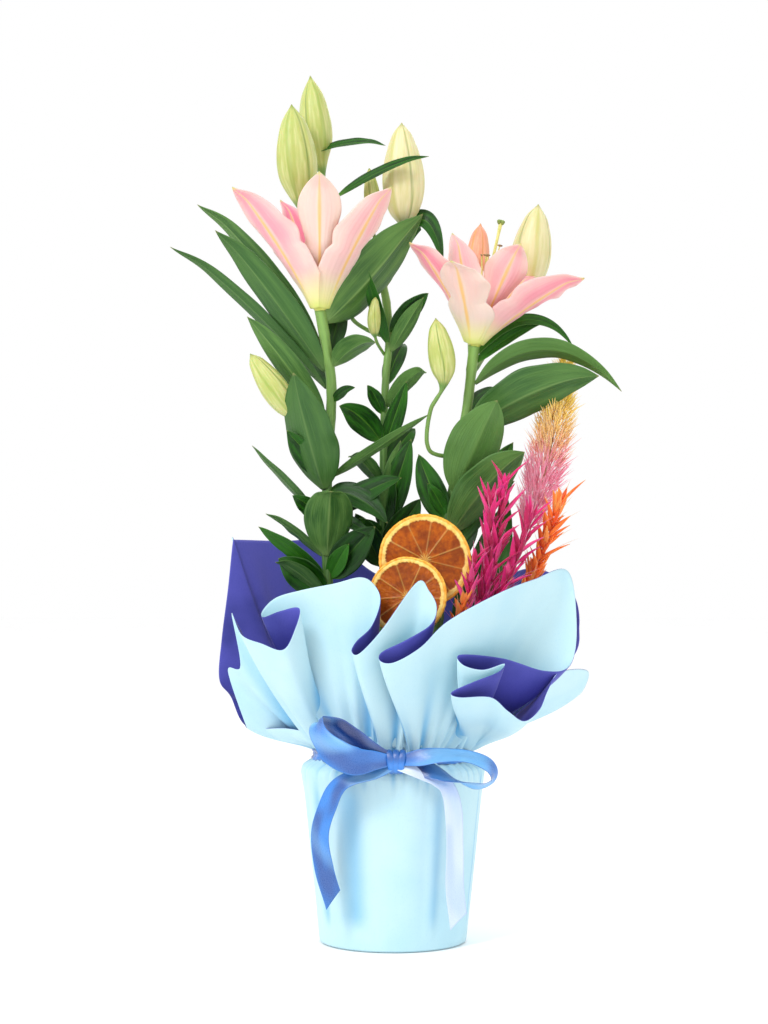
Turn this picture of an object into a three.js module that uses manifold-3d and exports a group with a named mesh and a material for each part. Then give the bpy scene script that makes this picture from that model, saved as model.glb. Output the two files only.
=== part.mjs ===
// A wrapped pot of cut lilies with dried orange slices and dyed dried sprays, in millimetres.
// The origin is the centre of the wrapped pot's base, on the surface it stands on.
// +Z is up, +X is to the right of the bow and -Y is the side that the bow is on.

import * as THREE from "three";
import Module from "manifold-3d";

const wasm = await Module();
wasm.setup();

// ---- driving dimensions -------------------------------------------------------------------

const POT_HEIGHT = 138;
const POT_BASE_RADIUS = 57;
const POT_TOP_RADIUS = 71;
const POT_WALL = 2.5;
const SOIL_BELOW_RIM = 11;

const PAPER = 1;
const GAP = 0.4;
const TOUCH = 0.3;
const BASE_FOLD = 4;
const TIE_ABOVE_RIM = 12;
const NECK_RADIUS = 57;
const COLLAR_ARC = 165;
const COLLAR_SIDE_LEAN = 28;
const COLLAR_FRONT_LEAN = 58;
const COLLAR_TOP_LEAN = 93;
const COLLAR_LOBES = 9;
const COLLAR_WAVE = 7;
const SHEET_SPREAD = 3;

const RIBBON_WIDTH = 15;
const RIBBON = 1.2;
const LOOP_HEIGHT = 27;
const KNOT_RADIUS = 5.6;
const TIE_HALF_WIDTH = 3;
const TIE_GAP = 0.9;

const STEM_DIAMETER = 8;
const THIN_STEM_DIAMETER = 6;
const PEDICEL_DIAMETER = 3.4;
const LEAF_THICKNESS = 1.4;
const LEAF_FOLD = 0.16;
const TEPAL_THICKNESS = 1.3;
const TEPAL_CUP = 0.3;
const LEFT_ROLL = 35;
const RIGHT_ROLL = -35;
const TEPAL_WIDTH = 39;
const FLOWER_CORE_RADIUS = 3.6;
const TEPAL_RING_STEP = 3.4;
const PISTIL_DIAMETER = 2.6;

const SLICE_RADIUS = 37.5;
const SLICE_THICKNESS = 4;
const SLICE_RIGHT_EDGE = 62.5;
const SLICE_STEP = 20;
const PICK_DIAMETER = 2.4;
const PLUME_RADIUS = 17;
const PLUME_START = 0.6;
const SPIKE_RADIUS = 6;

const AROUND = 48;
const STRIP_STEPS = 14;
const LOOP_STEPS = 8;
const LOOP_SIDES = 8;
const STEM_STEPS = 22;
const STEM_SIDES = 8;
const LEAF_STEPS = 8;
const TEPAL_STEPS = 9;
const BUD_STEPS = 18;
const PISTIL_STEPS = 12;
const SPRAY_STEPS = 14;
const PLUME_STEPS = 22;
const PLUME_SIDES = 10;
const THIN_SIDES = 6;

// ---- places worked out from them ----------------------------------------------------------

const POT_FLOOR = 2 * PAPER + 2 * GAP;
const RIM_Z = POT_FLOOR + POT_HEIGHT;
const SOIL_Z = RIM_Z - SOIL_BELOW_RIM;
const TIE_Z = RIM_Z + TIE_ABOVE_RIM;
const WRAP = 2 * (PAPER + GAP);

const UP = new THREE.Vector3(0, 0, 1);
const FRONT = new THREE.Vector3(0, -1, 0);
const radians = THREE.MathUtils.degToRad;
const vector = (x, y, z) => new THREE.Vector3(x, y, z);

// ---- materials ----------------------------------------------------------------------------

const paint = (color, roughness) => new THREE.MeshStandardMaterial({ color, roughness, metalness: 0 });

const materials = {
  pot: paint(0x4a3a32, 0.6),
  soil: paint(0x3a2a1c, 1),
  paper: paint(0xc4ecf8, 0.6),
  ribbon: paint(0x2c5fd0, 0.35),
  stem: paint(0x5d8a3a, 0.6),
  leaf: paint(0x3c7a2c, 0.5),
  tepal: paint(0xf4bccb, 0.6),
  pistil: paint(0xdcd870, 0.5),
  bud: paint(0xd8e090, 0.55),
  blush: paint(0xf0a078, 0.55),
  slice: paint(0xd07818, 0.5),
  plume: paint(0xf5a8a8, 0.9),
  orangeSpike: paint(0xf26a1c, 0.9),
  magentaSpray: paint(0xd2187c, 0.9),
};

// ---- solids -------------------------------------------------------------------------------

const object = new THREE.Group();

function addMesh(name, geometry, material) {
  const mesh = new THREE.Mesh(geometry, material);
  mesh.name = name;
  object.add(mesh);
  return mesh;
}

// Points and triangles as a geometry whose faces point out, whichever way they were listed.
function solidFrom(points, faces) {
  let sixVolumes = 0;
  for (const [a, b, c] of faces) {
    sixVolumes += points[a].dot(points[b].clone().cross(points[c]));
  }
  const ordered = sixVolumes > 0 ? faces : faces.map(([a, b, c]) => [a, c, b]);
  const geometry = new THREE.BufferGeometry();
  geometry.setAttribute("position", new THREE.Float32BufferAttribute(points.flatMap((p) => p.toArray()), 3));
  geometry.setIndex(ordered.flat());
  return geometry;
}

// A skin through rings of points, closed by one point at each end.
function closedLoft(startPoint, rings, endPoint) {
  const sides = rings[0].length;
  const last = rings.length - 1;
  const points = [startPoint, ...rings.flat(), endPoint];
  const at = (ring, side) => 1 + ring * sides + (side % sides);
  const faces = [];
  for (let side = 0; side < sides; side++) {
    faces.push([0, at(0, side + 1), at(0, side)]);
    faces.push([points.length - 1, at(last, side), at(last, side + 1)]);
    for (let ring = 0; ring < last; ring++) {
      faces.push([at(ring, side), at(ring, side + 1), at(ring + 1, side + 1)]);
      faces.push([at(ring, side), at(ring + 1, side + 1), at(ring + 1, side)]);
    }
  }
  return solidFrom(points, faces);
}

// A round body along a curve; radiusAt gives its radius from 0 at the start to 1 at the end.
function roundLoft(curve, radiusAt, steps, sides) {
  const rings = [];
  let across = null;
  for (let step = 1; step < steps; step++) {
    const u = step / steps;
    const centre = curve.getPoint(u);
    const along = curve.getTangent(u);
    const side = across ?? (Math.abs(along.z) > 0.9 ? vector(1, 0, 0) : UP);
    across = side.clone().addScaledVector(along, -side.dot(along)).normalize();
    const other = along.clone().cross(across);
    const ring = [];
    for (let k = 0; k < sides; k++) {
      const turn = (2 * Math.PI * k) / sides;
      const radius = radiusAt(u, k);
      ring.push(
        centre
          .clone()
          .addScaledVector(across, radius * Math.cos(turn))
          .addScaledVector(other, radius * Math.sin(turn)),
      );
    }
    rings.push(ring);
  }
  return closedLoft(curve.getPoint(0), rings, curve.getPoint(1));
}

// A thin blade along a curve: a diamond section with its edges lifted towards the upper face.
function blade(curve, widthAt, acrossAt, thickness, lift, steps) {
  const rings = [];
  for (let step = 1; step < steps; step++) {
    const u = step / steps;
    const centre = curve.getPoint(u);
    const along = curve.getTangent(u);
    const wanted = acrossAt(u);
    const across = wanted.clone().addScaledVector(along, -wanted.dot(along)).normalize();
    const upper = across.clone().cross(along);
    const half = widthAt(u) / 2;
    rings.push([
      centre.clone().addScaledVector(across, -half).addScaledVector(upper, lift * half),
      centre.clone().addScaledVector(upper, thickness / 2),
      centre.clone().addScaledVector(across, half).addScaledVector(upper, lift * half),
      centre.clone().addScaledVector(upper, -thickness / 2),
    ]);
  }
  return closedLoft(curve.getPoint(0), rings, curve.getPoint(1));
}

function toManifold(geometry) {
  const index = geometry.index.array;
  const mesh = new wasm.Mesh({
    numProp: 3,
    vertProperties: new Float32Array(geometry.attributes.position.array),
    triVerts: new Uint32Array(index),
  });
  return new wasm.Manifold(mesh);
}

// Closed geometries that run into each other, joined into one body.
function joined(geometries) {
  const whole = geometries.map(toManifold).reduce((sum, next) => sum.add(next));
  const mesh = whole.getMesh();
  const geometry = new THREE.BufferGeometry();
  geometry.setAttribute("position", new THREE.Float32BufferAttribute(mesh.vertProperties, 3));
  geometry.setIndex(Array.from(mesh.triVerts));
  return geometry;
}

// ---- pot and soil -------------------------------------------------------------------------

const potTaper = (POT_TOP_RADIUS - POT_BASE_RADIUS) / POT_HEIGHT;
const potRadiusAt = (z) => POT_BASE_RADIUS + potTaper * (z - POT_FLOOR);

// A body of revolution about the Z axis from a profile of [radius, z] pairs.
function turned(profile) {
  const geometry = new THREE.LatheGeometry(profile.map(([r, z]) => new THREE.Vector2(r, z)), AROUND);
  return geometry.rotateX(Math.PI / 2);
}

function addPot() {
  const floor = POT_FLOOR + POT_WALL;
  addMesh(
    "pot",
    turned([
      [0, POT_FLOOR],
      [POT_BASE_RADIUS - BASE_FOLD, POT_FLOOR],
      [potRadiusAt(POT_FLOOR + BASE_FOLD), POT_FLOOR + BASE_FOLD],
      [potRadiusAt(RIM_Z), RIM_Z],
      [potRadiusAt(RIM_Z) - POT_WALL, RIM_Z],
      [potRadiusAt(floor) - POT_WALL, floor],
      [0, floor],
    ]),
    materials.pot,
  );
  const inset = POT_WALL + GAP;
  addMesh(
    "soil",
    turned([
      [0, floor + TOUCH],
      [potRadiusAt(floor) - inset, floor + TOUCH],
      [potRadiusAt(SOIL_Z) - inset, SOIL_Z],
      [0, SOIL_Z],
    ]),
    materials.soil,
  );
}

// ---- wrapping paper -----------------------------------------------------------------------

// How far each sheet reaches past the tie, as [direction in degrees from +X, length].
const OUTER_RIM = [
  [-180, 100],
  [-165, 140],
  [-140, 140],
  [-122, 150],
  [-102, 157],
  [-88, 138],
  [-72, 132],
  [-50, 152],
  [-25, 180],
  [-8, 180],
  [10, 116],
  [60, 104],
  [120, 104],
  [165, 84],
  [180, 100],
];
const INNER_RIM = [
  [-180, 192],
  [-165, 160],
  [-140, 118],
  [-90, 112],
  [-40, 118],
  [-15, 150],
  [15, 168],
  [50, 158],
  [90, 170],
  [112, 186],
  [150, 199],
  [168, 205],
  [180, 192],
];

function readTable(table, angle) {
  const turn = ((angle + 540) % 360) - 180;
  for (let row = 1; row < table.length; row++) {
    const [low, from] = table[row - 1];
    const [high, to] = table[row];
    if (turn <= high) return from + ((to - from) * (turn - low)) / (high - low);
  }
  return table[table.length - 1][1];
}

// A point of the wrapping, at a direction and at a length past the tie. out is how far the
// point lies outside the pot's wall and the neck.
function collarPoint(angle, length, out) {
  const theta = radians(angle);
  const facing = Math.sin(theta) ** 2;
  const start = radians(COLLAR_SIDE_LEAN + (COLLAR_FRONT_LEAN - COLLAR_SIDE_LEAN) * facing);
  const bend = COLLAR_ARC / (radians(COLLAR_TOP_LEAN) - start);
  const lean = start + length / bend;
  const grown = Math.min(1, length / COLLAR_ARC);
  const wave = COLLAR_WAVE * grown * Math.cos(COLLAR_LOBES * theta);
  const push = out + wave;
  const radius = NECK_RADIUS + bend * (Math.sin(lean) - Math.sin(start)) + push * Math.sin(lean);
  const z = TIE_Z + bend * (Math.cos(start) - Math.cos(lean)) - push * Math.cos(lean);
  return vector(radius * Math.cos(theta), radius * Math.sin(theta), z);
}

const NEAR_STATIONS = [10, 24, 42, 62];
const FAR_STATIONS = [0.33, 0.66, 1];

// One face of a sheet, from the ring under the pot to the rim of the collar.
function paperRings(rim, out, spread) {
  const rings = [];
  const ring = (pointAt) => {
    rings.push(Array.from({ length: AROUND }, (_, k) => pointAt((360 * k) / AROUND - 180)));
  };
  const around = (angle, radius, z) =>
    vector(radius * Math.cos(radians(angle)), radius * Math.sin(radians(angle)), z);
  ring((angle) => around(angle, POT_BASE_RADIUS + out - BASE_FOLD, POT_FLOOR - out));
  ring((angle) => around(angle, potRadiusAt(POT_FLOOR + BASE_FOLD) + out, POT_FLOOR + BASE_FOLD));
  ring((angle) => around(angle, POT_TOP_RADIUS + out, RIM_Z));
  ring((angle) => around(angle, NECK_RADIUS + out, TIE_Z));
  const nearEnd = NEAR_STATIONS[NEAR_STATIONS.length - 1];
  for (const length of NEAR_STATIONS) {
    ring((angle) => collarPoint(angle, length, out + (spread * length) / nearEnd));
  }
  for (const share of FAR_STATIONS) {
    ring((angle) => {
      const length = nearEnd + share * (readTable(rim, angle) - nearEnd);
      return collarPoint(angle, length, out + spread);
    });
  }
  return rings;
}

function addSheet(name, rim, out, spread) {
  const outside = paperRings(rim, out + PAPER, spread);
  const inside = paperRings(rim, out, spread).reverse();
  const bottom = vector(0, 0, POT_FLOOR - out - PAPER);
  const floor = vector(0, 0, POT_FLOOR - out);
  addMesh(name, closedLoft(bottom, [...outside, ...inside], floor), materials.paper);
}

function addPaper() {
  addSheet("paper_inner", INNER_RIM, GAP, 0);
  addSheet("paper_outer", OUTER_RIM, 2 * GAP + PAPER, SHEET_SPREAD);
}

// ---- ribbon -------------------------------------------------------------------------------

// A flat strip along a curve that faces the front, narrower at its two ends.
function strip(points) {
  const curve = new THREE.CatmullRomCurve3(points);
  const widthAt = (u) => RIBBON_WIDTH * Math.min(1, 8 * Math.min(u, 1 - u) + 0.35);
  const acrossAt = (u) => curve.getTangent(u).cross(FRONT);
  return blade(curve, widthAt, acrossAt, RIBBON, 0, STRIP_STEPS);
}

function addRibbon() {
  const neck = NECK_RADIUS + WRAP + TIE_GAP;
  const below = neck + ((POT_TOP_RADIUS - NECK_RADIUS) * TIE_HALF_WIDTH) / TIE_ABOVE_RIM;
  const above = neck + TIE_GAP + (TIE_HALF_WIDTH + WRAP) / Math.tan(radians(COLLAR_SIDE_LEAN));
  addMesh(
    "ribbon_band",
    turned([
      [below, TIE_Z - TIE_HALF_WIDTH],
      [below + RIBBON, TIE_Z - TIE_HALF_WIDTH],
      [neck + RIBBON, TIE_Z],
      [above + RIBBON, TIE_Z + TIE_HALF_WIDTH],
      [above, TIE_Z + TIE_HALF_WIDTH],
      [neck, TIE_Z],
      [below, TIE_Z - TIE_HALF_WIDTH],
    ]),
    materials.ribbon,
  );
  const front = -(Math.max(above, POT_TOP_RADIUS + WRAP) + RIBBON + TOUCH);
  const bow = (x, y, z) => vector(x, front - y, TIE_Z + z);
  const knotCurve = new THREE.CatmullRomCurve3([bow(2, 5, -9), bow(2, 6, 0), bow(3, 5, 10)]);
  const knotRadiusAt = (u, k) => (k % 3 === 0 ? KNOT_RADIUS - 1 : KNOT_RADIUS) * Math.sin(Math.PI * u) ** 0.4;
  addMesh("ribbon_knot", roundLoft(knotCurve, knotRadiusAt, LOOP_STEPS, THIN_SIDES), materials.ribbon);
  const loop = (name, points) => {
    const curve = new THREE.CatmullRomCurve3(points);
    const swell = (u) => LOOP_HEIGHT * 0.5 * Math.sin(Math.PI * u ** 0.8) ** 0.6;
    const flat = (k) => 1 - 0.5 * Math.sin((2 * Math.PI * k) / LOOP_SIDES) ** 2;
    const radiusAt = (u, k) => swell(u) * flat(k);
    addMesh(name, roundLoft(curve, radiusAt, LOOP_STEPS, LOOP_SIDES), materials.ribbon);
  };
  loop("ribbon_loop_left", [bow(-6, 8, 1), bow(-24, 15, 6), bow(-44, 20, 14), bow(-60, 22, 28)]);
  loop("ribbon_loop_right", [bow(10, 8, 0), bow(28, 13, 0), bow(50, 14, -4), bow(76, 10, -9)]);
  const left = [bow(-6, 8, -12), bow(-28, 11, -17), bow(-46, 10, -36), bow(-56, 6, -72), bow(-48, 0, -120)];
  const right = [bow(10, 8, -14), bow(26, 11, -24), bow(42, 8, -42), bow(46, 4, -78), bow(48, 0, -126)];
  addMesh("ribbon_tail_left", strip(left), materials.ribbon);
  addMesh("ribbon_tail_right", strip(right), materials.ribbon);
}

// ---- lily stems ---------------------------------------------------------------------------

// Every height of a plant is measured from the soil.
const planted = (x, y, height) => vector(x, y, SOIL_Z + TOUCH + height);

function addStem(name, points, radius) {
  const curve = new THREE.CatmullRomCurve3(points.map(([x, y, height]) => planted(x, y, height)));
  const profile = (u) => radius * Math.min(1, 12 * Math.min(u, 1 - u) + 0.5);
  addMesh(name, roundLoft(curve, profile, STEM_STEPS, STEM_SIDES), materials.stem);
  return { curve, radius };
}

// The point of a stem at a height above the soil.
function onStem(stem, height) {
  let low = 0;
  let high = 1;
  for (let halving = 0; halving < 24; halving++) {
    const middle = (low + high) / 2;
    if (stem.curve.getPoint(middle).z < SOIL_Z + TOUCH + height) low = middle;
    else high = middle;
  }
  return stem.curve.getPoint(low);
}

// A point just clear of a stem's side, facing the way that a leaf or a pedicel leaves.
function besideStem(stem, height, toward) {
  const outward = vector(toward.x, toward.y, 0).normalize();
  return onStem(stem, height).addScaledVector(outward, stem.radius + TOUCH);
}

// ---- leaves -------------------------------------------------------------------------------

// A leaf from a stem: reach is its tip from its foot, arch how far its middle rises above the
// straight line, and roll turns its face about its length, in degrees.
function addLeaf(name, stem, height, reach, width, arch, roll) {
  const tipOffset = vector(...reach);
  const foot = besideStem(stem, height, tipOffset);
  const tip = foot.clone().add(tipOffset);
  const shoulder = foot.clone().addScaledVector(tipOffset, 0.33).addScaledVector(UP, arch);
  const bend = foot.clone().addScaledVector(tipOffset, 0.7).addScaledVector(UP, arch);
  const curve = new THREE.CubicBezierCurve3(foot, shoulder, bend, tip);
  const flatAcross = vector(tipOffset.y, -tipOffset.x, 0).normalize();
  const acrossAt = (u) => flatAcross.clone().applyAxisAngle(curve.getTangent(u), radians(roll));
  const widthAt = (u) => width * Math.sin(Math.PI * u ** 0.85) ** 0.8 + STEM_DIAMETER * 0.3 * (1 - u);
  const leaf = blade(curve, widthAt, acrossAt, LEAF_THICKNESS, LEAF_FOLD, LEAF_STEPS);
  addMesh(name, leaf, materials.leaf);
}

// ---- buds ---------------------------------------------------------------------------------

// A bud on its pedicel: bends are the pedicel's points from its stem and end is the bud's tip.
function addBud(name, stem, height, bends, tip, diameter, budLength, material = materials.bud) {
  const first = vector(...bends[0]);
  const foot = besideStem(stem, height, first);
  const points = [foot];
  for (const bend of [...bends, tip]) {
    points.push(foot.clone().add(vector(...bend)));
  }
  const curve = new THREE.CatmullRomCurve3(points, false, "centripetal");
  const length = curve.getLength();
  const budStart = 1 - budLength / length;
  const stalk = PEDICEL_DIAMETER / 2;
  const radiusAt = (u) => {
    const along = THREE.MathUtils.clamp((u - budStart) / (1 - budStart), 0, 1);
    const swell = (diameter / 2 - stalk) * Math.sin(Math.PI * along ** 0.8) ** 0.75;
    const thinTip = along > 0.9 ? (1 - along) / 0.1 : 1;
    return stalk * Math.min(1, 0.5 + 12 * u) * Math.max(0.3, thinTip) + swell;
  };
  const byLength = { getPoint: (u) => curve.getPointAt(u), getTangent: (u) => curve.getTangentAt(u) };
  addMesh(name, roundLoft(byLength, radiusAt, BUD_STEPS, THIN_SIDES), material);
}

// ---- flowers ------------------------------------------------------------------------------

// Six tepals round a flower's foot, outer and inner by turns, and the pistil between them. Each
// tepal is its tip from the foot, its width and how far its face turns by its tip, in degrees.
function addFlower(name, stem, axis, tepals, pistilTip) {
  const lean = vector(...axis).normalize();
  const foot = stem.curve.getPoint(1).addScaledVector(lean, TOUCH);
  tepals.forEach(([reach, width, roll], index) => {
    const tipOffset = vector(...reach);
    const outward = tipOffset.clone().addScaledVector(lean, -tipOffset.dot(lean)).normalize();
    const ringRadius = FLOWER_CORE_RADIUS + (index % 2 === 0 ? TEPAL_RING_STEP : 0);
    const rise = tipOffset.dot(lean);
    const spread = tipOffset.dot(outward);
    const start = foot.clone().addScaledVector(outward, ringRadius).addScaledVector(lean, 1);
    const waist = start.clone().addScaledVector(lean, 0.3 * rise).addScaledVector(outward, 0.17 * spread);
    const flare = start.clone().addScaledVector(lean, 0.72 * rise).addScaledVector(outward, 0.6 * spread);
    const curve = new THREE.CubicBezierCurve3(start, waist, flare, foot.clone().add(tipOffset));
    const level = outward.clone().cross(lean);
    const acrossAt = (u) => level.clone().applyAxisAngle(curve.getTangent(u), radians(roll) * u);
    const widthAt = (u) => {
      const radius = ringRadius + spread * u ** 1.5;
      return Math.min(width * Math.sin(Math.PI * u ** 0.9) ** 0.85 + 0.5, 1.1 * radius);
    };
    const tepal = blade(curve, widthAt, acrossAt, TEPAL_THICKNESS, TEPAL_CUP, TEPAL_STEPS);
    addMesh(`${name}_tepal_${index + 1}`, tepal, materials.tepal);
  });
  const tip = foot.clone().add(vector(...pistilTip));
  const middle = foot.clone().lerp(tip, 0.5).addScaledVector(lean, 2);
  const pistil = new THREE.CatmullRomCurve3([foot.clone().addScaledVector(lean, 2), middle, tip]);
  const knob = (u) => (PISTIL_DIAMETER / 2) * (u > 0.9 ? 1.7 : 1);
  addMesh(`${name}_pistil`, roundLoft(pistil, knob, PISTIL_STEPS, THIN_SIDES), materials.pistil);
}

// ---- the three lilies ---------------------------------------------------------------------

function addLeftLily() {
  const stem = addStem("stem_left", [
    [-38, 0, 0],
    [-50, 0, 120],
    [-54, 0, 190],
    [-53, 0, 255],
    [-50, -1, 320],
    [-53, -5, 345],
    [-59, -10, 381],
  ], STEM_DIAMETER / 2);
  addFlower(
    "flower_left",
    stem,
    [0, -0.12, 1],
    [
      [[-66, -44, 96], TEPAL_WIDTH, LEFT_ROLL],
      [[1, -58, 106], TEPAL_WIDTH + 4, 0],
      [[56, -44, 96], TEPAL_WIDTH - 2, RIGHT_ROLL],
      [[34, 22, 84], TEPAL_WIDTH - 8, 0],
      [[4, 42, 88], TEPAL_WIDTH - 6, 0],
      [[-30, 22, 94], TEPAL_WIDTH - 8, 0],
    ],
    [2, -8, 78],
  );
  addBud("bud_left_front", stem, 338, [[-6, 26, 44], [-21, 42, 108], [-24, 44, 138]], [-31, 42, 218], 33, 82);
  addBud("bud_left_top", stem, 340, [[6, 32, 48], [1, 66, 122], [-9, 76, 170]], [-18, 78, 246], 27, 78);
  addBud("bud_left_low", stem, 245, [[-10, -8, 24], [-20, -12, 44]], [-58, -20, 100], 22, 62);
  return stem;
}

function addMiddleLily() {
  const stem = addStem("stem_middle", [
    [-8, 12, 0],
    [-8, 14, 120],
    [-8, 16, 250],
    [-6, 20, 325],
    [-3, 26, 365],
    [-6, 32, 395],
    [-10, 36, 412],
  ], THIN_STEM_DIAMETER / 2);
  addBud("bud_middle_top", stem, 404, [[9, -1, 24], [13, -3, 50]], [12, -8, 134], 34, 84);
  addBud("bud_middle_olive", stem, 362, [[-16, -4, 6], [-28, -10, 16]], [-30, -14, 48], 14, 28);
  return stem;
}

function addRightLily() {
  const stem = addStem("stem_right", [
    [25, -2, 0],
    [36, -1, 120],
    [42, 0, 190],
    [52, 2, 255],
    [60, 4, 300],
    [64, 3, 335],
    [66, 2, 353],
  ], STEM_DIAMETER / 2);
  addFlower(
    "flower_right",
    stem,
    [0.16, -0.1, 1],
    [
      [[-18, -60, 66], TEPAL_WIDTH + 8, 0],
      [[36, -46, 80], TEPAL_WIDTH, RIGHT_ROLL],
      [[86, -26, 56], TEPAL_WIDTH + 4, RIGHT_ROLL],
      [[50, 34, 64], TEPAL_WIDTH - 5, 0],
      [[-14, 38, 98], TEPAL_WIDTH - 6, 0],
      [[-50, -22, 84], TEPAL_WIDTH, LEFT_ROLL],
    ],
    [21, -18, 98],
  );
  addBud("bud_right_top", stem, 330, [[14, 30, 22], [34, 42, 50], [44, 44, 72]], [56, 42, 144], 33, 74);
  addBud("bud_right_blush", stem, 334, [[0, 34, 26], [4, 54, 66]], [10, 60, 126], 19, 50, materials.blush);
  addBud("bud_right_low", stem, 262, [[-20, -10, 6], [-19, -14, 38], [-9, -14, 58]], [-15, -18, 112], 22, 54);
  return stem;
}

// Each row is a leaf's name, height on its stem, tip from its foot, width, arch and roll.
const LEFT_LEAVES = [
  ["leaf_left_1", 352, [-98, 16, 119], 18, 10, 50],
  ["leaf_left_2", 332, [-86, -22, 113], 24, 6, 46],
  ["leaf_left_3", 318, [-124, 2, 118], 12, 10, 48],
  ["leaf_left_4", 290, [-62, -26, 84], 19, 6, 44],
  ["leaf_left_5", 236, [-24, -40, 92], 38, -4, 8],
  ["leaf_left_6", 210, [-56, -18, 60], 10, 2, 20],
  ["leaf_left_7", 182, [4, -42, 56], 34, 8, 0],
  ["leaf_left_8", 182, [-44, -6, 36], 10, 2, 30],
  ["leaf_left_9", 336, [34, -20, 18], 20, 8, -30],
  ["leaf_left_10", 372, [76, 20, 90], 42, -6, -58],
  ["leaf_left_11", 150, [-38, -16, 30], 14, 4, 30],
  ["leaf_left_12", 246, [78, -38, 50], 9, 0, -30],
];
const MIDDLE_LEAVES = [
  ["leaf_middle_1", 304, [33, -28, 30], 12, 8, -40],
  ["leaf_middle_2", 350, [26, -20, 42], 12, 2, -40],
  ["leaf_middle_3", 240, [-26, -26, 26], 14, 6, 20],
  ["leaf_middle_4", 214, [12, -18, 62], 15, 0, 0],
];
const RIGHT_LEAVES = [
  ["leaf_right_1", 322, [116, -22, -8], 17, 42, -50],
  ["leaf_right_2", 284, [104, -26, 44], 36, 12, -56],
  ["leaf_right_3", 232, [32, -38, 74], 38, 6, -30],
  ["leaf_right_4", 200, [58, -32, 66], 34, 10, -40],
];

function addLeaves(stem, rows) {
  for (const [name, height, reach, width, arch, roll] of rows) {
    addLeaf(name, stem, height, reach, width, arch, roll);
  }
}

// ---- dried orange slices ------------------------------------------------------------------

// A turned body with its seam and its centre points merged.
function mergedDisc(geometry) {
  const source = geometry.attributes.position;
  const points = [];
  const seen = new Map();
  const renamed = [];
  for (let k = 0; k < source.count; k++) {
    const point = vector(source.getX(k), source.getY(k), source.getZ(k));
    const key = point.toArray().map((value) => Math.round(value * 1000)).join();
    if (!seen.has(key)) {
      seen.set(key, points.length);
      points.push(point);
    }
    renamed.push(seen.get(key));
  }
  const faces = [];
  const index = geometry.index.array;
  for (let k = 0; k < index.length; k += 3) {
    const face = [renamed[index[k]], renamed[index[k + 1]], renamed[index[k + 2]]];
    if (new Set(face).size === 3) faces.push(face);
  }
  return solidFrom(points, faces);
}

// A slice on its pick: centre from the middle of the soil, with its face turned from the front.
function addSlice(name, centre, radius, turn, tilt) {
  const half = SLICE_THICKNESS / 2;
  const profile = [
    [0, -half],
    [radius - 1, -half],
    [radius, 0],
    [radius - 1, half],
    [0, half],
  ];
  const disc = turned(profile);
  const seat = planted(...centre);
  const facing = new THREE.Euler(radians(90 + tilt), 0, radians(turn), "ZXY");
  const place = new THREE.Matrix4().makeRotationFromEuler(facing).setPosition(seat);
  const bite = vector(0, -0.6 * radius, 0).applyMatrix4(place);
  const pick = new THREE.LineCurve3(vector(seat.x / 2, seat.y / 2, SOIL_Z + TOUCH), bite);
  const stick = roundLoft(pick, () => PICK_DIAMETER / 2, 3, THIN_SIDES);
  addMesh(name, joined([mergedDisc(disc).applyMatrix4(place), stick]), materials.slice);
}

function addSlices() {
  const large = [SLICE_RIGHT_EDGE - SLICE_RADIUS, 1 - NECK_RADIUS, 180];
  const small = [large[0] - 14, large[1] - SLICE_STEP, 150];
  addSlice("orange_slice_large", large, SLICE_RADIUS, 6, -6);
  addSlice("orange_slice_small", small, SLICE_RADIUS * 0.88, -14, -8);
}

// ---- dyed dried sprays --------------------------------------------------------------------

function addPlume() {
  const points = [
    planted(0.67 * NECK_RADIUS, 16, 0),
    planted(0.88 * NECK_RADIUS, 18, 40),
    planted(82, 22, 120),
    planted(116, 20, 222),
    planted(127, 16, 262),
    planted(141, 8, 338),
  ];
  const curve = new THREE.CatmullRomCurve3(points, false, "centripetal");
  const radiusAt = (u, k) => {
    const along = THREE.MathUtils.clamp((u - PLUME_START) / (1 - PLUME_START), 0, 1);
    const tuft = k % 2 === 0 ? 1 : 0.8;
    return PICK_DIAMETER / 2 + tuft * PLUME_RADIUS * Math.sin(Math.PI * along ** 0.8) ** 0.7;
  };
  addMesh("plume", roundLoft(curve, radiusAt, PLUME_STEPS, PLUME_SIDES), materials.plume);
}

// A spike of husks on a thin stalk; from is where on its length the husks start.
function spike(points, radius, from) {
  const curve = new THREE.CatmullRomCurve3(points, false, "centripetal");
  const radiusAt = (u) => {
    const along = THREE.MathUtils.clamp((u - from) / (1 - from), 0, 1);
    return PICK_DIAMETER / 2 + radius * Math.sin(Math.PI * along ** 0.75) ** 0.8;
  };
  return roundLoft(curve, radiusAt, SPRAY_STEPS, THIN_SIDES);
}

function addSprays() {
  const orange = [
    planted(0.67 * NECK_RADIUS, -16, 0),
    planted(0.85 * NECK_RADIUS, -22, 40),
    planted(NECK_RADIUS + 31, -33, 110),
    planted(NECK_RADIUS + 56, -34, 170),
    planted(NECK_RADIUS + 78, -32, 228),
  ];
  addMesh("orange_spike", spike(orange, SPIKE_RADIUS, 0.45), materials.orangeSpike);
  const main = [
    planted(0.6 * NECK_RADIUS, -26, 0),
    planted(0.74 * NECK_RADIUS, -34, 40),
    planted(66, -50, 128),
  ];
  const branches = [
    [planted(64.5, -49, 122), planted(73, -54, 170), planted(80, -52, 234)],
    [planted(65, -49, 124), planted(78, -50, 170), planted(90, -46, 246)],
    [planted(64, -48.5, 120), planted(86, -50, 160), planted(112, -48, 218)],
  ];
  const husks = branches.map((branch) => spike(branch, SPIKE_RADIUS * 0.7, 0.1));
  addMesh("magenta_spray", joined([spike(main, 0, 0.5), ...husks]), materials.magentaSpray);
}

addPot();
addPaper();
addRibbon();
addLeaves(addLeftLily(), LEFT_LEAVES);
addLeaves(addMiddleLily(), MIDDLE_LEAVES);
addLeaves(addRightLily(), RIGHT_LEAVES);
addSlices();
addPlume();
addSprays();

export default object;
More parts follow.
